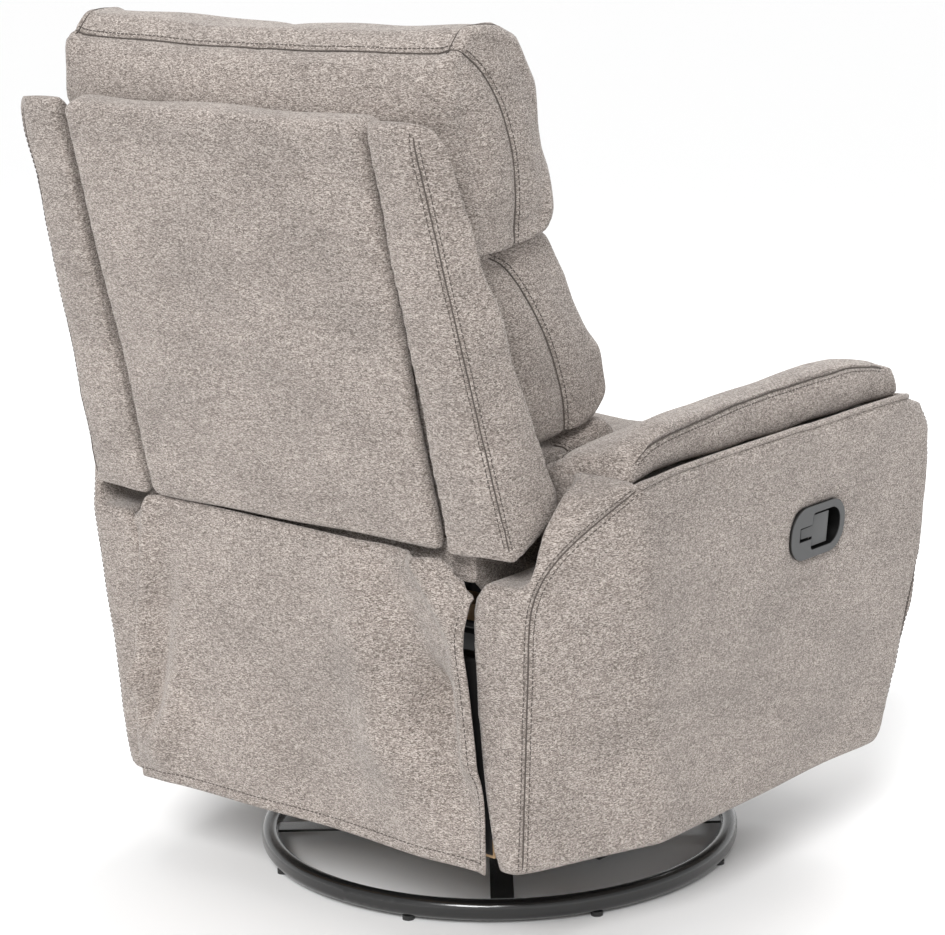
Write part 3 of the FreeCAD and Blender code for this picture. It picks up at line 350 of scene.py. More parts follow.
def thread_mesh(name, stitches, shade_lines=()):
    """All thread of one body as one mesh: stitches sunk at both ends, and thin dark tubes along the seams that
    paint the shade in their grooves.
    """
    sides = 5
    turn = np.linspace(0, 2 * math.pi, sides, endpoint=False)
    points = []
    faces = []
    for ends, normal in stitches:
        ahead = ends[2] - ends[0]
        ahead /= np.linalg.norm(ahead)
        beside = np.cross(ahead, normal)
        beside /= np.linalg.norm(beside)
        base = len(points)
        # place, height in thread radii, thickness share
        stations = ((ends[0], -0.3, 0.5), (ends[0] * 0.75 + ends[1] * 0.25, 0.45, 1.0),
                    (ends[1] * 0.25 + ends[2] * 0.75, 0.45, 1.0), (ends[2], -0.3, 0.5))
        for centre, lift, thickness in stations:
            middle = centre + normal * lift * STITCH_RADIUS
            for angle in turn:
                spoke = math.cos(angle) * beside * 1.2 + math.sin(angle) * normal
                points.append(middle + spoke * STITCH_RADIUS * thickness)
        faces.extend(tube_faces(len(stations), sides, base))
    # painted seam shade: a thin dark tube along each seam's groove
    for seam in shade_lines:
        base = len(points)
        shade_points, shade_faces = tube(seam, SEAM_SHADE_RADIUS, sides)
        points.extend(shade_points)
        faces.extend(tuple(base + index for index in face) for face in shade_faces)
    return build(name, points, faces)


def welt(name, body, path, normals):
    """Piping covered in fabric, partly sunk in the surface along a path."""
    points, faces = tube(path + normals * WELT_RADIUS * 0.6, WELT_RADIUS)
    dress(build(name, points, faces), body)


# --------------------------------------------------------------- materials
def new_material(name):
    material = bpy.data.materials.new(name)
    material.use_nodes = True
    nodes = material.node_tree.nodes
    shader = nodes["Principled BSDF"]
    return material, nodes, material.node_tree.links, shader


def add(nodes, kind, **settings):
    """A node with its properties set; keys that are sockets set their default value."""
    node = nodes.new("ShaderNode" + kind)
    for name, value in settings.items():
        if hasattr(node, name):
            setattr(node, name, value)
        else:
            node.inputs[name.replace("_", " ")].default_value = value
    return node


def object_place(nodes):
    return nodes.new("ShaderNodeTexCoord").outputs["Object"]


def bumped(nodes, links, shader, height, strength, depth):
    bump = add(nodes, "Bump", Strength=strength, Distance=depth)
    links.new(height, bump.inputs["Height"])
    links.new(bump.outputs[0], shader.inputs["Normal"])


def math_node(nodes, links, operation, first, second):
    node = add(nodes, "Math", operation=operation)
    for socket, value in zip(node.inputs, (first, second)):
        if isinstance(value, (int, float)):
            socket.default_value = value
        else:
            links.new(value, socket)
    return node.outputs[0]


def ramp(nodes, links, source, stops):
    node = nodes.new("ShaderNodeValToRGB")
    elements = node.color_ramp.elements
    while len(elements) < len(stops):
        elements.new(0.5)
    for element, (position, colour) in zip(elements, stops):
        element.position = position
        element.color = (*colour, 1)
    links.new(source, node.inputs[0])
    return node.outputs[0]


def scaled(nodes, links, source, scale):
    node = add(nodes, "Mapping", Scale=scale)
    links.new(source, node.inputs["Vector"])
    return node.outputs[0]


def noise(nodes, links, vector, scale, detail=2.0, roughness=0.5):
    node = add(nodes, "TexNoise", Scale=scale, Detail=detail, Roughness=roughness)
    links.new(vector, node.inputs["Vector"])
    return node.outputs["Fac"]


def spread(nodes, links, source, low, high):
    """Rescale a 0 to 1 value to low to high."""
    node = add(nodes, "MapRange", To_Min=low, To_Max=high)
    links.new(source, node.inputs["Value"])
    return node.outputs[0]


def coloured(nodes, links, blend, first, second, share=None):
    """Mix two colour sockets or colours."""
    node = add(nodes, "Mix", data_type="RGBA", blend_type=blend)
    node.inputs[0].default_value = 1
    if share is not None:
        links.new(share, node.inputs[0])
    for socket, value in ((node.inputs[6], first), (node.inputs[7], second)):
        if isinstance(value, tuple):
            socket.default_value = (*value, 1)
        else:
            links.new(value, socket)
    return node.outputs[2]


def tweed(name, brightness=1.0):
    """Chenille tweed: short level slubs of dark, middle and light yarn under a soft nap.

    The vertex attribute "lie" is 1 where the cloth lies flat and 0 where it stands,
    so that the yarns always run across the piece.
    """
    material, nodes, links, shader = new_material(name)
    where = object_place(nodes)
    lie = add(nodes, "Attribute", attribute_name="lie").outputs["Fac"]
    wobble = add(nodes, "TexNoise", Scale=55, Detail=1)
    links.new(where, wobble.inputs["Vector"])
    shift = add(nodes, "VectorMath", operation="MULTIPLY_ADD")
    links.new(wobble.outputs["Color"], shift.inputs[0])
    shift.inputs[1].default_value = (0.003, 0.003, 0.003)
    links.new(where, shift.inputs[2])
    bent = shift.outputs[0]
    yarns = []
    for scale in ((520, 520, 1400), (520, 1400, 520)):
        cells = add(nodes, "TexVoronoi", Scale=1)
        links.new(scaled(nodes, links, bent, scale), cells.inputs["Vector"])
        yarns.append(cells)
    flat_side = math_node(nodes, links, "GREATER_THAN", lie, 0.5)
    picked = coloured(nodes, links, "MIX", yarns[0].outputs["Color"],
                      yarns[1].outputs["Color"], share=flat_side)
    split = nodes.new("ShaderNodeSeparateColor")
    links.new(picked, split.inputs[0])
    chance = split.outputs[0]
    round_yarn = nodes.new("ShaderNodeMix")
    links.new(flat_side, round_yarn.inputs[0])
    links.new(yarns[0].outputs["Distance"], round_yarn.inputs[2])
    links.new(yarns[1].outputs["Distance"], round_yarn.inputs[3])
    distance = round_yarn.outputs[0]
    grain = noise(nodes, links, where, 900, 2, 0.7)
    tuft = noise(nodes, links, bent, 680, 3, 0.7)
    tone = math_node(nodes, links, "MULTIPLY", chance, 0.45)
    tone = math_node(nodes, links, "ADD", tone,
                     math_node(nodes, links, "MULTIPLY", tuft, 0.55))
    yarn_colour = ramp(nodes, links, tone, [
        (0.20, (0.085, 0.069, 0.059)), (0.36, (0.240, 0.203, 0.180)),
        (0.52, (0.400, 0.350, 0.318)), (0.76, (0.750, 0.678, 0.627))])
    patch = spread(nodes, links, noise(nodes, links, scaled(nodes, links, where, (1, 1, 1.7)),
                                       9, 3, 0.55), 0.72, 1.28)
    cloud = spread(nodes, links, noise(nodes, links, scaled(nodes, links, where, (1, 1, 3.2)),
                                       46, 4, 0.65), 0.80, 1.20)
    nap = math_node(nodes, links, "MULTIPLY", patch, cloud)
    nap = math_node(nodes, links, "MULTIPLY", nap, brightness)
    nap_colour = nodes.new("ShaderNodeCombineColor")
    for socket in nap_colour.inputs:
        links.new(nap, socket)
    mixed = coloured(nodes, links, "MULTIPLY", yarn_colour, nap_colour.outputs[0])
    speck = ramp(nodes, links, grain, [(0.30, (0.74, 0.72, 0.70)), (0.62, (1.12, 1.12, 1.12))])
    links.new(coloured(nodes, links, "MULTIPLY", mixed, speck), shader.inputs["Base Color"])
    links.new(spread(nodes, links, tuft, 0.78, 1.0), shader.inputs["Roughness"])
    shader.inputs["Sheen Weight"].default_value = 0.35
    shader.inputs["Sheen Roughness"].default_value = 0.45
    shader.inputs["Sheen Tint"].default_value = (0.95, 0.91, 0.88, 1)
    shader.inputs["Specular IOR Level"].default_value = 0.2
    height = math_node(nodes, links, "SUBTRACT",
                       math_node(nodes, links, "MULTIPLY", grain, 0.5), distance)
    height = math_node(nodes, links, "ADD", height,
                       math_node(nodes, links, "MULTIPLY", tuft, 0.8))
    bumped(nodes, links, shader, height, 0.8, 0.0008)
    return material


def coated(name, colour, roughness, metallic=0.0, coat=0.0, grain_scale=900, bump_depth=0.0001):
    """Paint, plastic or bare metal with fine grain, uneven gloss and lighter rubbed spots."""
    material, nodes, links, shader = new_material(name)
    where = object_place(nodes)
    fine = noise(nodes, links, where, grain_scale, 3, 0.6)
    broad = noise(nodes, links, where, 14, 4, 0.6)
    worn = tuple(channel * RUBBED_GAIN for channel in colour)
    links.new(ramp(nodes, links, broad, [(0.35, colour), (0.75, worn)]),
              shader.inputs["Base Color"])
    links.new(spread(nodes, links, broad, roughness * 0.75, min(1, roughness * 1.3)),
              shader.inputs["Roughness"])
    shader.inputs["Metallic"].default_value = metallic
    shader.inputs["Coat Weight"].default_value = coat
    shader.inputs["Coat Roughness"].default_value = 0.12
    bumped(nodes, links, shader, fine, 0.4, bump_depth)
    return material


def paint_shade_below(material, outward, level, fade):
    """Paint shade into a material: black where it lies more than a little below a plane, as in a recess or a gap.
    """
    nodes = material.node_tree.nodes
    links = material.node_tree.links
    shader = nodes["Principled BSDF"]
    height = add(nodes, "VectorMath", operation="DOT_PRODUCT")
    links.new(object_place(nodes), height.inputs[0])
    height.inputs[1].default_value = outward
    mask = add(nodes, "MapRange", From_Min=level - fade, From_Max=level)
    links.new(height.outputs["Value"], mask.inputs["Value"])
    painted = shader.inputs["Base Color"].links[0].from_socket
    links.new(coloured(nodes, links, "MIX", (0.002, 0.002, 0.002), painted,
                       share=mask.outputs[0]), shader.inputs["Base Color"])


def timber(name):
    """Plywood and softwood with long grain."""
    material, nodes, links, shader = new_material(name)
    where = object_place(nodes)
    rings = noise(nodes, links, scaled(nodes, links, where, (60, 6, 60)), 1, 5, 0.65)
    fibre = noise(nodes, links, scaled(nodes, links, where, (900, 40, 900)), 1, 2, 0.5)
    tone = math_node(nodes, links, "ADD", math_node(nodes, links, "MULTIPLY", rings, 0.75),
                     math_node(nodes, links, "MULTIPLY", fibre, 0.25))
    links.new(ramp(nodes, links, tone, [(0.3, (0.36, 0.22, 0.11)), (0.7, (0.66, 0.47, 0.28))]),
              shader.inputs["Base Color"])
    links.new(spread(nodes, links, fibre, 0.55, 0.8), shader.inputs["Roughness"])
    bumped(nodes, links, shader, fibre, 0.3, 0.0003)
    return material


def moulded(name, colour=(0.052, 0.053, 0.054)):
    """The handle's grained plastic."""
    return coated(name, colour, 0.42, grain_scale=1600, bump_depth=0.00015)


FABRIC = tweed("tweed", brightness=0.77)
# dark thread colour, also used for the painted shade lines in the seam grooves
THREAD_AND_SEAM_SHADE = coated("thread", (0.075, 0.062, 0.054), 0.8, grain_scale=2500, bump_depth=0.0002)
MATERIALS = {
    "upholstery": FABRIC,
    "base_black": coated("base_black", (0.008, 0.008, 0.008), 0.22, coat=0.5),
    "mechanism_steel": coated("mechanism_steel", (0.035, 0.035, 0.037), 0.42, metallic=0.6),
    "bright_steel": coated("bright_steel", (0.55, 0.55, 0.54), 0.3, metallic=1.0),
    "frame_wood": timber("frame_wood"),
    "foot_plastic": coated("foot_plastic", (0.012, 0.012, 0.012), 0.5),
    "handle_plastic": moulded("handle_plastic"),
}


def mark_lie(piece):
    """Store for the fabric how flat the cloth lies at each vertex."""
    mesh = piece.data
    upward = directions(mesh)[:, 2] ** 2
    found = mesh.attributes.get("lie") or mesh.attributes.new("lie", "FLOAT", "POINT")
    found.data.foreach_set("value", upward.astype(np.float32))


def dress(piece, body=None):
    """Give a piece the fabric and, if named, its body."""
    mark_lie(piece)
    piece.data.materials.clear()
    piece.data.materials.append(FABRIC)
    if body:
        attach(piece, body)


# ------------------------------------------------------------- soft pieces
def soft_copy(node, name, voxel, smoothing, shrink=0.0):
    """A CAD solid's even quad skin, rounded, a little smaller, that stands for it."""
    piece = link(name, frame["nodes"][node].data.copy())
    piece.data.materials.clear()
    modified(piece, "WELD", merge_threshold=1e-5)
    remeshed(piece, voxel, smoothing)
    if shrink:
        move_to(piece.data, places(piece.data) - directions(piece.data) * shrink)
    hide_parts(node)
    return piece


def calmed(mesh, move, rounds=14):
    """Even out a movement of the mesh's vertices between neighbours."""
    ends = np.empty(len(mesh.edges) * 2, np.int32)
    mesh.edges.foreach_get("vertices", ends)
    first, second = ends.reshape(-1, 2).T
    count = len(move)
    neighbours = np.maximum(np.bincount(np.concatenate((first, second)), minlength=count), 1)
    for _ in range(rounds):
        total = np.stack([np.bincount(first, weights=move[second, axis], minlength=count)
                          + np.bincount(second, weights=move[first, axis], minlength=count)
                          for axis in range(3)], axis=1)
        move = 0.4 * move + 0.6 * total / neighbours[:, None]
    return move


def inflate(jobs):
    """Blow the pieces up as cloth bags, all in one run, each point moving at most its cap."""
    starts = {}
    for piece, cap in jobs:
        starts[piece.name] = places(piece.data)
        cloth = piece.modifiers.new("cloth", "CLOTH")
        for setting, value in CLOTH_SETTINGS.items():
            setattr(cloth.settings, setting, value)
        cloth.settings.effector_weights.gravity = 0
        cloth.collision_settings.use_collision = False
        cloth.point_cache.frame_start = 1
        cloth.point_cache.frame_end = SIM_FRAMES
    for step in range(1, SIM_FRAMES + 1):
        scene.frame_set(step)
    graph = bpy.context.evaluated_depsgraph_get()
    grown = {piece.name: places(piece.evaluated_get(graph).data) for piece, _ in jobs}
    for piece, cap in jobs:
        start = starts[piece.name]
        move = grown[piece.name] - start
        length = np.maximum(np.linalg.norm(move, axis=1), 1e-9)
        piece.modifiers.clear()
        move = calmed(piece.data, move * (cap * np.tanh(length / cap) / length)[:, None])
        move_to(piece.data, start + move)
    scene.frame_set(1)


def fit(piece, node, axes=(0, 1, 2), grow_low=(0, 0, 0), grow_high=(0, 0, 0)):
    """Stretch a piece along these axes to fill its CAD node's box, or a little more."""
    low, high = ends_of(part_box(node))
    low -= np.array(grow_low)
    high += np.array(grow_high)
    at = places(piece.data)
    for axis in axes:
        least, most = at[:, axis].min(), at[:, axis].max()
        at[:, axis] = low[axis] + (at[:, axis] - least) * (high[axis] - low[axis]) / (most - least)
    move_to(piece.data, at)


def crisp(piece, gain):
    """Draw out the edges between the piece's two ends and its long faces."""
    if not gain:
        return
    facing = directions(piece.data)
    across = np.abs(facing[:, 0])
    around = np.sqrt(np.clip(1 - across ** 2, 0, 1))
    out = gain * (2 * across * around) ** 1.5
    move_to(piece.data, places(piece.data) + facing * out[:, None])


def lift_corner(piece, from_z, upward, from_y, rearward, lift):
    """Draw out one long edge of a piece: top or bottom (upward 1 or -1), rear or front."""
    at = places(piece.data)
    upper = np.clip(upward * (at[:, 2] - from_z) / 0.040, 0, 1)
    along = np.clip(rearward * (at[:, 1] - from_y) / 0.060, 0, 1)
    at[:, 2] += upward * lift * upper * along
    move_to(piece.data, at)


def press(piece, point, normal):
    """Flatten what reaches past a plane."""
    normal = np.array(normal, float)
    normal /= np.linalg.norm(normal)
    at = places(piece.data)
    past = np.maximum((at - np.array(point)) @ normal, 0)
    move_to(piece.data, at - past[:, None] * normal)


def refine(piece, seed, wavelength=0.11, height=0.0012):
    """One subdivision, then soft unevenness."""
    subdivided(piece)
    at = places(piece.data)
    move_to(piece.data, at + directions(piece.data) * ripple(at, wavelength, height, seed)[:, None])


def side_seam(node, profile, x):
    """A seam on one side of a piece, given as shares of its CAD box."""
    low, high = ends_of(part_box(node))
    return [(x, low[1] + (high[1] - low[1]) * along, low[2] + (high[2] - low[2]) * up)
            for along, up in profile]


def around_back(node, profile, half, top_back):
    """A pillow's seam: up one side, over the back of its top and down the other side."""
    y, z = top_back
    top = [(share * half, y, z) for share in (-0.93, -0.78, -0.4, 0, 0.4, 0.78, 0.93)]
    return side_seam(node, profile, -half)[::-1] + top + side_seam(node, profile, half)


# Soft pieces: CAD node, body, voxel size, smoothing rounds, how much the piece is shrunk
# before it is blown up, and how far that may move it.
SOFT_PIECES = {
    "headrest_cushion": ("headrest_pillow", "backrest", VOXEL, 2, 0.004, 0.014),
    "middle_cushion": ("middle_pillow", "backrest", VOXEL, 2, 0.004, 0.014),
    "lower_cushion": ("lower_pillow", "backrest", VOXEL, 2, 0.003, 0.010),
    "seat_pad": ("seat_cushion", "chassis", VOXEL, 5, 0.006, 0.022),
    "foot_cushion": ("foot_pad", "footrest", FINE_VOXEL, 3, 0.002, 0.010),
    "arm_cushion_right": ("arm_pad_right", "chassis", FINE_VOXEL, 3, 0.002, 0.008),
    "arm_cushion_left": ("arm_pad_left", "chassis", FINE_VOXEL, 3, 0.002, 0.008),
    "wing_cover_right": ("wing_right", "backrest", FINE_VOXEL, 2, 0.0, 0.003),
    "wing_cover_left": ("wing_left", "backrest", FINE_VOXEL, 2, 0.0, 0.003),
}
soft = {}
for name, (node, _, voxel, smoothing, shrink, _) in SOFT_PIECES.items():
    soft[name] = soft_copy(node, name, voxel, smoothing, shrink)
inflate([(soft[name], settings[-1]) for name, settings in SOFT_PIECES.items()])

headrest_low, headrest_high = ends_of(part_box("headrest_pillow"))
middle_high = ends_of(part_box("middle_pillow"))[1]
wing_low, wing_high = ends_of(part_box("wing_left"))
panel_low, panel_high = ends_of(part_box("back_panel"))

# How far each pillow's crowned faces stand past its CAD box (low side, high side) and
# how much its edges are drawn out again after the inflation rounds them.
PILLOW_FIT = {"headrest_cushion": ((0.009, 0.004, 0.006), (0.009, 0.010, -0.005), 0.009),
              "middle_cushion": ((0.008, 0.009, 0.006), (0.008, 0.002, 0.010), 0.006),
              "lower_cushion": ((0.007, 0.008, 0.002), (0.007, 0.0, 0.008), 0.005)}
for name, settings in SOFT_PIECES.items():
    grow_low, grow_high, edge_gain = PILLOW_FIT.get(name, ((0, 0, 0), (0, 0, 0), 0))
    fit(soft[name], settings[0], grow_low=grow_low, grow_high=grow_high)
    crisp(soft[name], edge_gain)


def shape_arm_pad(piece, side, low):
    """Crown the arm cushion near its outer side and let it fall away toward the seat."""
    at = places(piece.data)
    base = low[2] - 0.002
    rise = np.maximum(at[:, 2] - base, 0)
    inboard = PAD_CROWN_X - side * at[:, 0]
    fall = np.interp(inboard, [-0.02, 0, 0.030, 0.060, 0.109], [1, 1, 0.91, 0.66, 0.22])
    rear = np.clip((at[:, 1] - 0.110) / 0.077, 0, 1) ** 2
    at[:, 2] -= rise * (1 - PAD_HEIGHT_SHARE * fall * (1 - 0.45 * rear))
    at[:, 2] -= (PAD_SUNK + 0.010 * rear) * np.clip(1 - rise / 0.036, 0, 1)
    at[:, 0] -= side * PAD_OUTER_CLEAR * np.clip((side * at[:, 0] - 0.340) / 0.040, 0, 1)
    move_to(piece.data, at)


def flare_wing(piece, side):
    """Lean the wing's outer face out toward its front, more and more toward its top."""
    at = places(piece.data)
    back_y = 0.292 + math.tan(BACK_LEAN) * (at[:, 2] - wing_low[2])
    front_y = 0.213 + 0.431 * (at[:, 2] - 0.535)
    forward = np.clip((back_y - at[:, 1]) / (back_y - front_y), 0, 1.2)
    height = np.clip((at[:, 2] - wing_low[2]) / (wing_high[2] - wing_low[2]), 0, 1)
    outer = np.clip((side * at[:, 0] - 0.245) / 0.035, 0, 1)
    over = np.clip((at[:, 2] - wing_high[2] + 0.045) / 0.045, 0, 1)
    at[:, 0] += side * (WING_FLARE * height * forward - WING_CORNER * over ** 2) * outer
    move_to(piece.data, at)


for side_name, side in SIDES.items():
    shape_arm_pad(soft[f"arm_cushion_{side_name}"], side, ends_of(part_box(f"arm_pad_{side_name}"))[0])
    flare_wing(soft[f"wing_cover_{side_name}"], side)

for seed, piece in enumerate(soft.values(), start=3):
    refine(piece, seed)

# the pillows rest on one another on flat faces; the upper joint turns up toward its front
head_joint = np.array((0, 0.240, headrest_low[2] + 0.002))
low_joint = np.array((0, 0.210, 0.5605))
lift_corner(soft["middle_cushion"], middle_high[2] - 0.044, 1, head_joint[1], -1, 0.016)
lift_corner(soft["middle_cushion"], middle_high[2] - 0.044, 1, head_joint[1], 1,
            PILLOW_CORNER_LIFT)
lift_corner(soft["headrest_cushion"], headrest_low[2] + 0.040, -1, head_joint[1], 1,
            PILLOW_CORNER_LIFT)
for name, joint, normal in (("headrest_cushion", head_joint, (0, 0, -1)),
                            ("headrest_cushion", head_joint, (0, -0.25, -1)),
                            ("middle_cushion", low_joint, (0, -0.18, -1)),
                            ("lower_cushion", low_joint, (0, 0.18, 1))):
    away = np.array(normal, float) / np.linalg.norm(normal)
    press(soft[name], joint - away * PILLOW_GAP, normal)
# the middle cushion's top stays under that upper joint
middle = soft["middle_cushion"].data
at = places(middle)
ceiling = head_joint[2] + 0.25 * np.maximum(head_joint[1] - at[:, 1], 0) - PILLOW_GAP
at[:, 2] = np.minimum(at[:, 2], ceiling)
move_to(middle, at)

# pillows: the seam between the wrapped front and the gusset behind it
sew(soft["headrest_cushion"], "backrest",
    around_back("headrest_pillow", HEADREST_SEAM, headrest_high[0],
                (headrest_high[1] - 0.010, headrest_high[2] - 0.020)),
    rows=(ROW_OFFSET,), valley=0.0016)
for side in (-1, 1):
    sew(soft["headrest_cushion"], "backrest",
        [(side * (headrest_high[0] - x), headrest_high[1] - y, headrest_high[2] - z)
         for x, y, z in ((0.014, 0.012, 0.020), (0.010, 0.045, 0.010), (0.006, 0.085, 0.008))],
        depth=0.0012, valley=0.0006)
for name, node, profile in (("middle_cushion", "middle_pillow", MIDDLE_SEAM),
                            ("lower_cushion", "lower_pillow", LOWER_SEAM)):
    for side in (-1, 1):
        sew(soft[name], "backrest", side_seam(node, profile, side * ends_of(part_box(node))[1][0]),
            rows=(ROW_OFFSET * side,))

# arm cushions: the seam between the top and the boxing on both long sides
for side_name, side in SIDES.items():
    node = f"arm_pad_{side_name}"
    low, high = ends_of(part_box(node))
    for edge, outward in ((low[0], 1), (high[0], -1)):
        sew(soft[f"arm_cushion_{side_name}"], "chassis", side_seam(node, PAD_SEAM, edge),
            rows=(ROW_OFFSET * outward,))

# seat and foot cushions: boxing seams
seat_low, seat_high = ends_of(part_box("seat_cushion"))
seam_z = seat_high[2] - 0.030
sew(soft["seat_pad"], "chassis",
    [(-seat_high[0], seat_high[1] - 0.02, seam_z), (-seat_high[0], seat_low[1] + 0.03, seam_z),
     (-seat_high[0] + 0.03, seat_low[1], seam_z), (0, seat_low[1], seam_z + 0.002),
     (seat_high[0] - 0.03, seat_low[1], seam_z), (seat_high[0], seat_low[1] + 0.03, seam_z),
     (seat_high[0], seat_high[1] - 0.02, seam_z)], rows=(ROW_OFFSET, -ROW_OFFSET))
foot_low, foot_high = ends_of(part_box("foot_pad"))
foot_mid = (foot_low[2] + foot_high[2]) / 2
sew(soft["foot_cushion"], "footrest",
    [(foot_low[0] + 0.012, foot_low[1], foot_mid), (0, foot_low[1], foot_mid),
     (foot_high[0] - 0.012, foot_low[1], foot_mid)], rows=(ROW_OFFSET, -ROW_OFFSET), valley=0.006)

# wings: double-stitched corner seam behind
for side_name, side in SIDES.items():
    piece = soft[f"wing_cover_{side_name}"]
    back_bottom = wing_high[1] - (wing_high[2] - wing_low[2]) * math.tan(BACK_LEAN)
    seam = [(side * (WING_OUTER_TOP - 0.012), wing_high[1] - 0.022, wing_high[2] - 0.002),
            (side * (WING_OUTER_TOP - 0.006), wing_high[1] - 0.008, wing_high[2] - 0.006)]
    for share in (0.06, 0.3, 0.55, 0.8, 0.97):
        outer = WING_OUTER_TOP + (WING_OUTER_BOTTOM - WING_OUTER_TOP) * share
        seam.append((side * (outer - 0.003),
                     wing_high[1] + (back_bottom - wing_high[1]) * share - 0.002,
                     wing_high[2] + (wing_low[2] - wing_high[2]) * share))
    sew(piece, "backrest", seam, rows=(ROW_OFFSET, -ROW_OFFSET), valley=0.001)

for name, piece in soft.items():
    dress(piece, SOFT_PIECES[name][1])


# ---------------------------------------------------------------- back panel
def slab(name, outline, half, bevel, voxel, smoothing):
    """A solid with this (y, z) outline across the back, remeshed to an even skin."""
    count = len(outline)
    points = [(side * half, y, z) for side in (-1, 1) for y, z in outline]
    faces = [tuple(range(count)), tuple(range(2 * count - 1, count - 1, -1))]
    for index in range(count):
        following = (index + 1) % count
        faces.append((index, following, count + following, count + index)[::-1])
    piece = build(name, points, faces)
    modified(piece, "BEVEL", width=bevel, segments=4, limit_method="ANGLE")
    remeshed(piece, voxel, smoothing)
    return piece


board_high = ends_of(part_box("back_board"))[1]
panel_outline = [(panel_low[1] + 0.002, panel_low[2] + 0.004),
                 (panel_low[1] + 0.020, panel_low[2]),
                 (panel_high[1], panel_high[2] - 0.006), (panel_high[1] - 0.008, panel_high[2]),
                 (panel_high[1] - 0.024, panel_high[2] + 0.004),
                 (headrest_high[1] + 0.012, panel_high[2]),
                 (headrest_high[1] + 0.011, board_high[2] + 0.004),
                 (board_high[1] + 0.003, board_high[2] + 0.003)]
panel = slab("back_cover", panel_outline, panel_high[0], 0.008, VOXEL, 4)
fit(panel, "back_panel", axes=(0,), grow_low=(-0.003, 0, 0), grow_high=(-0.003, 0, 0))
subdivided(panel)
at = places(panel.data)
across = np.clip(np.abs(at[:, 0]) / panel_high[0], 0, 1)
height_share = np.clip((at[:, 2] - panel_low[2]) / (panel_high[2] - panel_low[2]), 0, 1)
bulge = 0.006 * (1 - across ** 4) * np.sin(math.pi * np.clip(height_share, 0.02, 0.98)) ** 0.6
outward = np.array((0, math.cos(BACK_LEAN), -math.sin(BACK_LEAN)))
facing = np.clip(directions(panel.data) @ outward, 0, 1)
at += (bulge * facing)[:, None] * outward
corner_pull = np.clip((across - 0.90) / 0.10, 0, 1) * np.clip((height_share - 0.955) / 0.045, 0, 1)
at[:, 2] -= 0.012 * corner_pull ** 2
at[:, 0] -= np.sign(at[:, 0]) * 0.002 * corner_pull ** 2
at += directions(panel.data) * ripple(at, 0.16, 0.0012, 41)[:, None]
move_to(panel.data, at)
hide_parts("back_panel")
dress(panel, "backrest")


# ---------------------------------------------------------------------- arms
def sink_pad_well(arm, side, pad_node, top_z):
    """Lower the arm's top inside its rim, so that the arm cushion sits in a shallow well."""
    low, high = ends_of(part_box(pad_node))
    outer = max(abs(low[0]), abs(high[0])) - PAD_WELL_OUTER_INSET
    inner = min(abs(low[0]), abs(high[0]))
    at = places(arm.data)
    across = side * at[:, 0]
    inside = np.minimum(np.minimum(across - inner, outer - across),
                        np.minimum(at[:, 1] - low[1], high[1] - at[:, 1]))
    share = np.clip((inside - PAD_WELL_RIM / 2) / PAD_WELL_RIM, 0, 1)
    near_top = np.clip((at[:, 2] - top_z + 0.030) / 0.012, 0, 1)
    at[:, 2] -= PAD_SUNK * 1.15 * share * near_top
    move_to(arm.data, at)


def bulge_rear(arm, side, rear_y, low_z, high_z):
    """Swell the inner edge of the arm's rear strip toward the middle of the back."""
    at = places(arm.data)
    back = np.clip((at[:, 1] - rear_y + 0.030) / 0.020, 0, 1)
    share = np.clip((at[:, 2] - low_z) / (high_z - low_z), 0, 1)
    swell = np.interp(share, [0, 0.08, 0.25, 0.40, 0.58, 0.70, 0.745], [0, 0.2, 0.5, 0.8, 1, 0.5, 0])
    inner = np.clip((0.300 - np.abs(at[:, 0])) / 0.030, 0, 1)
    moved = at[:, 0] - side * ARM_REAR_BULGE * back * swell * inner
    least = np.minimum(np.abs(at[:, 0]), BRACKET_CLEAR_X)
    at[:, 0] = side * np.maximum(side * moved, least)
    move_to(arm.data, at)


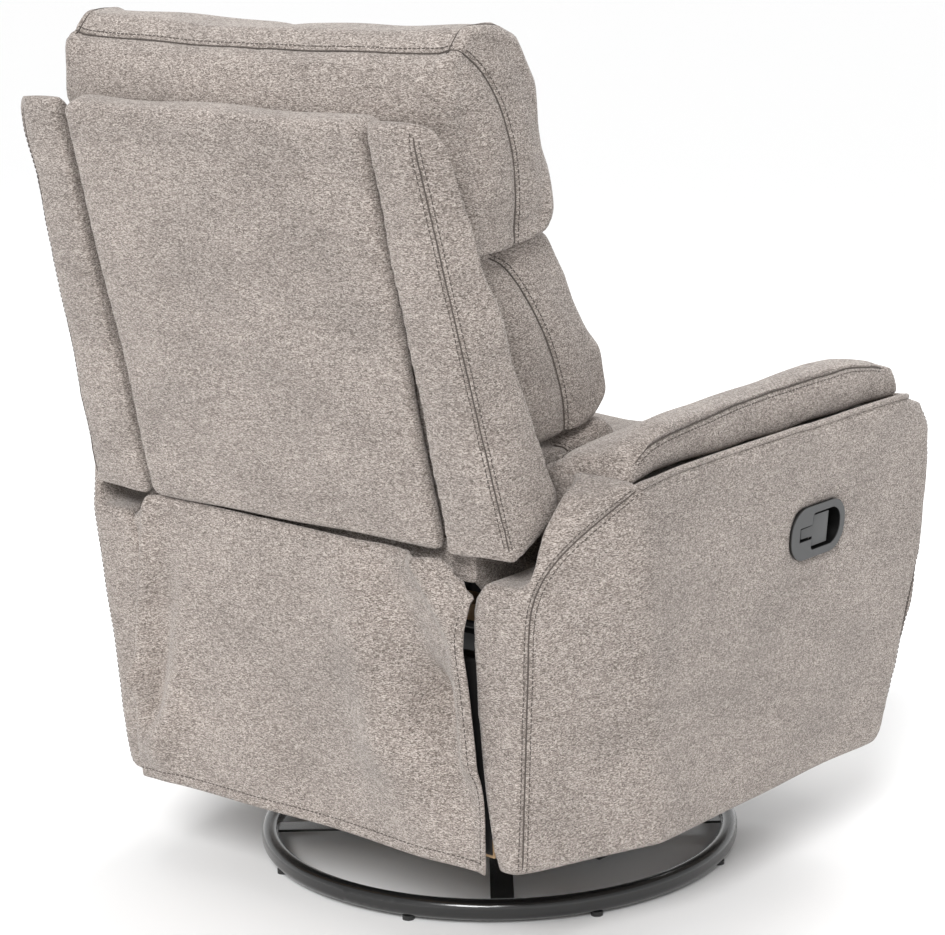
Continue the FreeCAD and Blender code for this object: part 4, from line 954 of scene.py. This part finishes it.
for side_name, side in SIDES.items():
    node = f"arm_{side_name}"
    low, high = ends_of(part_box(node))
    arm = soft_copy(node, f"arm_cover_{side_name}", SHELL_VOXEL, 2)
    fit(arm, node)
    subdivided(arm)
    at = places(arm.data)
    move_to(arm.data, at + directions(arm.data) * ripple(at, 0.19, 0.0011, 60 + side)[:, None])
    top_x = low[0] if side < 0 else high[0]
    sink_pad_well(arm, side, f"arm_pad_{side_name}", high[2])
    bulge_rear(arm, side, high[1], low[2], high[2])
    rear_seam = [(side * x, high[1] - y, low[2] + z) for x, y, z in ARM_REAR_SEAM]
    sew(arm, "chassis", rear_seam, rows=(ROW_OFFSET, -ROW_OFFSET), valley=0.0012)
    welt_points = [(top_x - side * 0.003, high[1] - 0.103, high[2] - 0.010),
                   (top_x - side * 0.001, high[1] - 0.16, high[2] + 0.001),
                   (top_x - side * 0.001, 0.0, high[2] + 0.002),
                   (top_x - side * 0.001, -0.20, high[2] + 0.002),
                   (top_x - side * 0.002, low[1] + 0.085, high[2]),
                   (top_x - side * 0.008, low[1] + 0.050, high[2] - 0.006),
                   (top_x - side * 0.030, low[1] + 0.036, high[2] - 0.012),
                   (side * 0.335, low[1] + 0.034, high[2] - 0.013),
                   (side * 0.285, low[1] + 0.038, high[2] - 0.010),
                   (side * 0.273, low[1] + 0.060, high[2] - 0.002),
                   (side * 0.272, 0.0, high[2]),
                   (side * 0.272, high[1] - 0.13, high[2])]
    path, normals = snapped(curve(welt_points), tree_of(arm))
    front_seam = [(top_x - side * 0.012, low[1] + 0.026, high[2] - 0.030),
                  (top_x - side * 0.016, low[1] + 0.006, high[2] - 0.070),
                  (top_x - side * 0.024, low[1] + 0.004, high[2] - 0.16),
                  (side * 0.367, low[1] + 0.030, low[2] + 0.10),
                  (side * 0.353, low[1] + 0.055, low[2] + 0.004)]
    sew(arm, "chassis", front_seam, rows=(ROW_OFFSET, -ROW_OFFSET), valley=0.001)
    dress(arm, "chassis")
    welt(f"arm_welt_{side_name}", "chassis", path, normals)


# fabric wrapped round the front rail, the foot board and the boards inside the arms
for node, body in (("seat_rail_front", "chassis"), ("arm_board_left", "chassis"),
                   ("arm_board_right", "chassis"), ("foot_board", "footrest")):
    cover = soft_copy(node, f"{node}_cover", FINE_VOXEL, 1)
    fit(cover, node)
    subdivided(cover)
    dress(cover, body)


# ------------------------------------------------------------------- curtain
curtain_low, curtain_high = ends_of(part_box("back_curtain"))


def curtain_outline(z):
    """The curtain's two side edges at these heights: (left, right) in x."""
    left = np.interp(z, [0.117, 0.430], [0.2735, 0.2745])
    right = np.interp(z, [0.117, 0.197, 0.260, 0.327, 0.368, 0.390, 0.433],
                      [-0.2635, -0.2630, -0.2610, -0.2560, -0.2520, -0.2535, -0.2620])
    return left, right


def curtain_top(x):
    """The height of the curtain's top edge, cut away toward both arms."""
    middle = np.interp(x, [-0.219, 0.218], [0.4605, 0.4695])
    left_cut = 0.4685 - (x - 0.221) * (0.039 / 0.053)
    right_cut = 0.4605 - (-0.219 - x) * (0.037 / 0.043)
    return np.minimum(middle, np.minimum(left_cut, right_cut))


# Folds: start and end as (x, z), how far they stand out at each end, and half width.
FOLDS = [((0.224, 0.466), (0.258, 0.240), 0.010, 0.015, 0.011),
         ((0.258, 0.240), (0.266, 0.130), 0.015, 0.005, 0.011),
         ((0.176, 0.330), (0.232, 0.160), 0.000, 0.018, 0.018),
         ((0.200, 0.390), (0.238, 0.215), -0.004, -0.014, 0.012),
         ((-0.190, 0.456), (-0.226, 0.395), 0.016, 0.008, 0.009),
         ((-0.140, 0.440), (-0.190, 0.300), -0.008, -0.024, 0.021),
         ((-0.190, 0.300), (-0.228, 0.200), -0.024, -0.008, 0.018),
         ((-0.090, 0.400), (-0.130, 0.240), 0.008, 0.016, 0.026),
         ((-0.070, 0.330), (-0.160, 0.170), 0.002, 0.009, 0.034),
         ((-0.238, 0.400), (-0.246, 0.240), 0.010, 0.014, 0.010),
         ((0.040, 0.300), (-0.020, 0.180), -0.001, -0.006, 0.040)]


def fold_height(x, z):
    """How far the folds lift the cloth at these places."""
    total = np.zeros_like(x)
    for start, end, first, last, half in FOLDS:
        start, end = np.array(start), np.array(end)
        span = end - start
        length = np.linalg.norm(span)
        way = span / length
        along = (x - start[0]) * way[0] + (z - start[1]) * way[1]
        off = (x - start[0]) * way[1] - (z - start[1]) * way[0]
        share = along / length
        past = np.maximum(np.maximum(-share, share - 1) * length, 0)
        lift = first + (last - first) * np.clip(share, 0, 1)
        total += lift * np.exp(-0.5 * (off / half) ** 2 - 0.5 * (past / (half * 1.3)) ** 2)
    return total


def curtain_point(p, q):
    """Where the cloth is, from its left to right edge (p) and hem to top (q)."""
    x = 0.285 + p * (-0.262 - 0.285)
    for _ in range(3):
        top = curtain_top(x)
        z = FLAP_HEM_Z + q * (top - FLAP_HEM_Z)
        left, right = curtain_outline(z)
        x = left + p * (right - left)
    slope = (curtain_high[1] - 0.003 - (curtain_low[1] + 0.003)) / (0.465 - 0.117)
    y = curtain_low[1] + 0.003 + slope * (z - 0.117)
    y = y + fold_height(x, z)
    hem = np.exp(-0.5 * ((z - FLAP_HEM_Z) / 0.005) ** 2)
    edge = np.exp(-0.5 * ((x - right) / 0.006) ** 2)
    y = y + 0.0015 * hem + 0.004 * edge
    ridge = np.interp(z, [0.12, 0.24, 0.466], [0.268, 0.260, 0.224])
    y = y - np.clip(0.8 * (x - ridge), 0, 0.010)
    tuck = np.clip((q - 0.97) / 0.03, 0, 1) ** 2
    y = y - 0.006 * tuck
    y = y + 0.0022 * np.sin(x * 420) * np.exp(-(1 - q) * 22) * np.clip((-x - 0.12) / 0.08, 0, 1)
    return np.stack((x, y, z), axis=-1)


columns, rows = 150, 96
p, q = np.meshgrid(np.linspace(0, 1, columns), np.linspace(0, 1, rows))
cloth_points = curtain_point(p.ravel(), q.ravel())
cloth_points[:, 1] += ripple(cloth_points, 0.15, 0.0012, 77) * (1 - q.ravel() ** 3)
curtain = build("rear_flap", cloth_points, grid_faces(rows, columns, flipped=True))
modified(curtain, "SOLIDIFY", thickness=FLAP_THICKNESS, offset=0)
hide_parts("back_curtain")
dress(curtain)

hem_line = curtain_point(np.linspace(0.01, 0.99, 180), np.full(180, 0.034))
side_line = curtain_point(np.full(90, 0.985), np.linspace(0.03, 0.93, 90))
curtain_tree = tree_of(curtain)
for line in (hem_line, side_line):
    path, normals = snapped(line + np.array((0, 0.004, 0)), curtain_tree)
    stitch("curtain", path, normals)
hem_thread = thread_mesh("flap_stitches", threads.pop("curtain"))
hem_thread.data.materials.append(THREAD_AND_SEAM_SHADE)
for piece in (curtain, hem_thread):
    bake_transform(piece)


# dark sheets inside the chair, seen through the slits on both sides of the flap: painted shade that stands for the
# shade in those slits
rail_low, rail_high = ends_of(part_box("rear_rail"))
# near-black colour of the sheets: painted shade
SHADE_SHEET_MATERIAL = coated("shade_sheet", (0.012, 0.011, 0.011), 0.9, grain_scale=1400, bump_depth=0.0003)
for side_name, side in SIDES.items():
    strip_x = np.linspace(SHADE_SHEET_INNER_X, rail_high[0] - 0.001, 12)
    strip_z = np.linspace(rail_low[2] + 0.004, SHADE_SHEET_TOP, 40)
    grid_x, grid_z = np.meshgrid(strip_x, strip_z)
    strip = np.stack((side * grid_x.ravel(), np.full(grid_x.size, rail_high[1] + 0.0016),
                      grid_z.ravel()), axis=1)
    strip[:, 1] += ripple(strip, 0.09, 0.0005, 90)
    shade_sheet = build(f"lining_{side_name}", strip, grid_faces(len(strip_z), len(strip_x)))
    modified(shade_sheet, "SOLIDIFY", thickness=SHADE_SHEET_THICKNESS, offset=0)
    shade_sheet.data.materials.append(SHADE_SHEET_MATERIAL)
    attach(shade_sheet, "chassis")

# ------------------------------------------------------------------- threads
# stitches, and the painted shade lines in the seam grooves, in the thread colour
for body, stitches in threads.items():
    piece = thread_mesh(f"stitches_{body}", stitches, seam_shade_lines[body])
    piece.data.materials.append(THREAD_AND_SEAM_SHADE)
    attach(piece, body)

# --------------------------------------------- materials of the CAD parts kept
for part in frame["record"]["subparts"]:
    node = frame["nodes"][part["node"]]
    node.data.materials.clear()
    node.data.materials.append(MATERIALS[part["material_slot"]])

for name in ("back_board", "back_rail", "back_bracket_left", "back_bracket_right"):
    frame["nodes"][name].data.materials[0] = FABRIC
cup = frame["nodes"]["handle_bezel"]
pull_axis = next(joint for joint in frame["joints"] if joint["name"] == "handle_pull")["axis"]
cup_outward = np.cross((0, 1, 0), pull_axis)
cup_outward *= -np.sign(cup_outward[0]) / np.linalg.norm(cup_outward)
cup_face = (places(cup.data) @ cup_outward).max()
cup_material = moulded("handle_cup")
# painted shade: the cup turns black below its face, in its recess and round the paddle's gap
paint_shade_below(cup_material, tuple(cup_outward), cup_face - 0.0006, 0.0010)
cup.data.materials[0] = cup_material
paddle = link("paddle_skin", frame["nodes"]["handle_paddle"].data.copy())
modified(paddle, "WELD", merge_threshold=1e-5)
at = places(paddle.data)
inward = directions(paddle.data)
inward -= np.outer(inward @ cup_outward, cup_outward)
move_to(paddle.data, at - inward * PADDLE_TRIM)
modified(paddle, "BEVEL", width=0.0005, segments=2, limit_method="ANGLE")
paddle_face = (places(paddle.data) @ cup_outward).max()
paddle_material = moulded("handle_paddle", (0.050, 0.051, 0.052))
# painted shade: the paddle turns black on its sunk side walls
paint_shade_below(paddle_material, tuple(cup_outward), paddle_face - 0.0006, 0.0008)
paddle.data.materials.clear()
paddle.data.materials.append(paddle_material)
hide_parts("handle_paddle")
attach(paddle, "paddle")

# ------------------------------------------------------- floor, light, camera
floor_mesh = bpy.data.meshes.new("floor")
floor_mesh.from_pydata([(x * HALF_FLOOR, y * HALF_FLOOR, 0)
                        for x, y in ((-1, -1), (1, -1), (1, 1), (-1, 1))], [], [(0, 1, 2, 3)])
floor = link("floor", floor_mesh)
floor_material, _, _, floor_shader = new_material("floor")
floor_shader.inputs["Base Color"].default_value = (0.92, 0.92, 0.92, 1)
floor_shader.inputs["Roughness"].default_value = 0.9
floor_mesh.materials.append(floor_material)

world = bpy.data.worlds.new("studio")
world.use_nodes = True
sky_nodes = world.node_tree.nodes
sky_links = world.node_tree.links
sky_way = sky_nodes.new("ShaderNodeSeparateXYZ")
sky_links.new(sky_nodes.new("ShaderNodeTexCoord").outputs["Generated"], sky_way.inputs[0])
sky = ramp(sky_nodes, sky_links, sky_way.outputs["Z"],
           [(0.10, (1.0, 1.0, 1.0)), (0.45, (0.56, 0.56, 0.56))])
sky_links.new(sky, sky_nodes["Background"].inputs["Color"])
sky_nodes["Background"].inputs["Strength"].default_value = 1.0
scene.world = world
scene.view_settings.view_transform = "Standard"


def lamp(name, place, target, size, power):
    light = bpy.data.lights.new(name, "AREA")
    light.shape = "SQUARE"
    light.size = size
    light.energy = power
    lamp_object = link(name, light)
    lamp_object.location = place
    lamp_object.rotation_euler = (Vector(target) - Vector(place)).to_track_quat("-Z", "Y").to_euler()


chair_middle = (0, 0, 0.55)
lamp("top", (0.4, 0.2, 3.4), chair_middle, 1.6, 22)
lamp("front", (0.6, -3.4, 2.6), chair_middle, 1.6, 55)
sun = bpy.data.lights.new("sun", "SUN")
sun.energy = SUN_ENERGY
sun.angle = SUN_SPREAD
sun_object = link("sun", sun)
sun_object.rotation_euler = SUN_WAY.to_track_quat("-Z", "Y").to_euler()

camera_data = bpy.data.cameras.new("camera")
camera_data.lens = CAMERA_LENS
camera_data.sensor_width = CAMERA_SENSOR
camera_data.clip_end = 50
camera = link("camera", camera_data)
backward = Vector((math.sin(CAMERA_AZIMUTH) * math.cos(CAMERA_ELEVATION),
                   -math.cos(CAMERA_AZIMUTH) * math.cos(CAMERA_ELEVATION),
                   math.sin(CAMERA_ELEVATION)))
level = (-backward).to_track_quat("-Z", "Y").to_matrix()
camera.matrix_world = Matrix.Translation(CAMERA_PLACE) @ (
    level @ Matrix.Rotation(CAMERA_ROLL, 3, "Z")).to_4x4()
scene.camera = camera
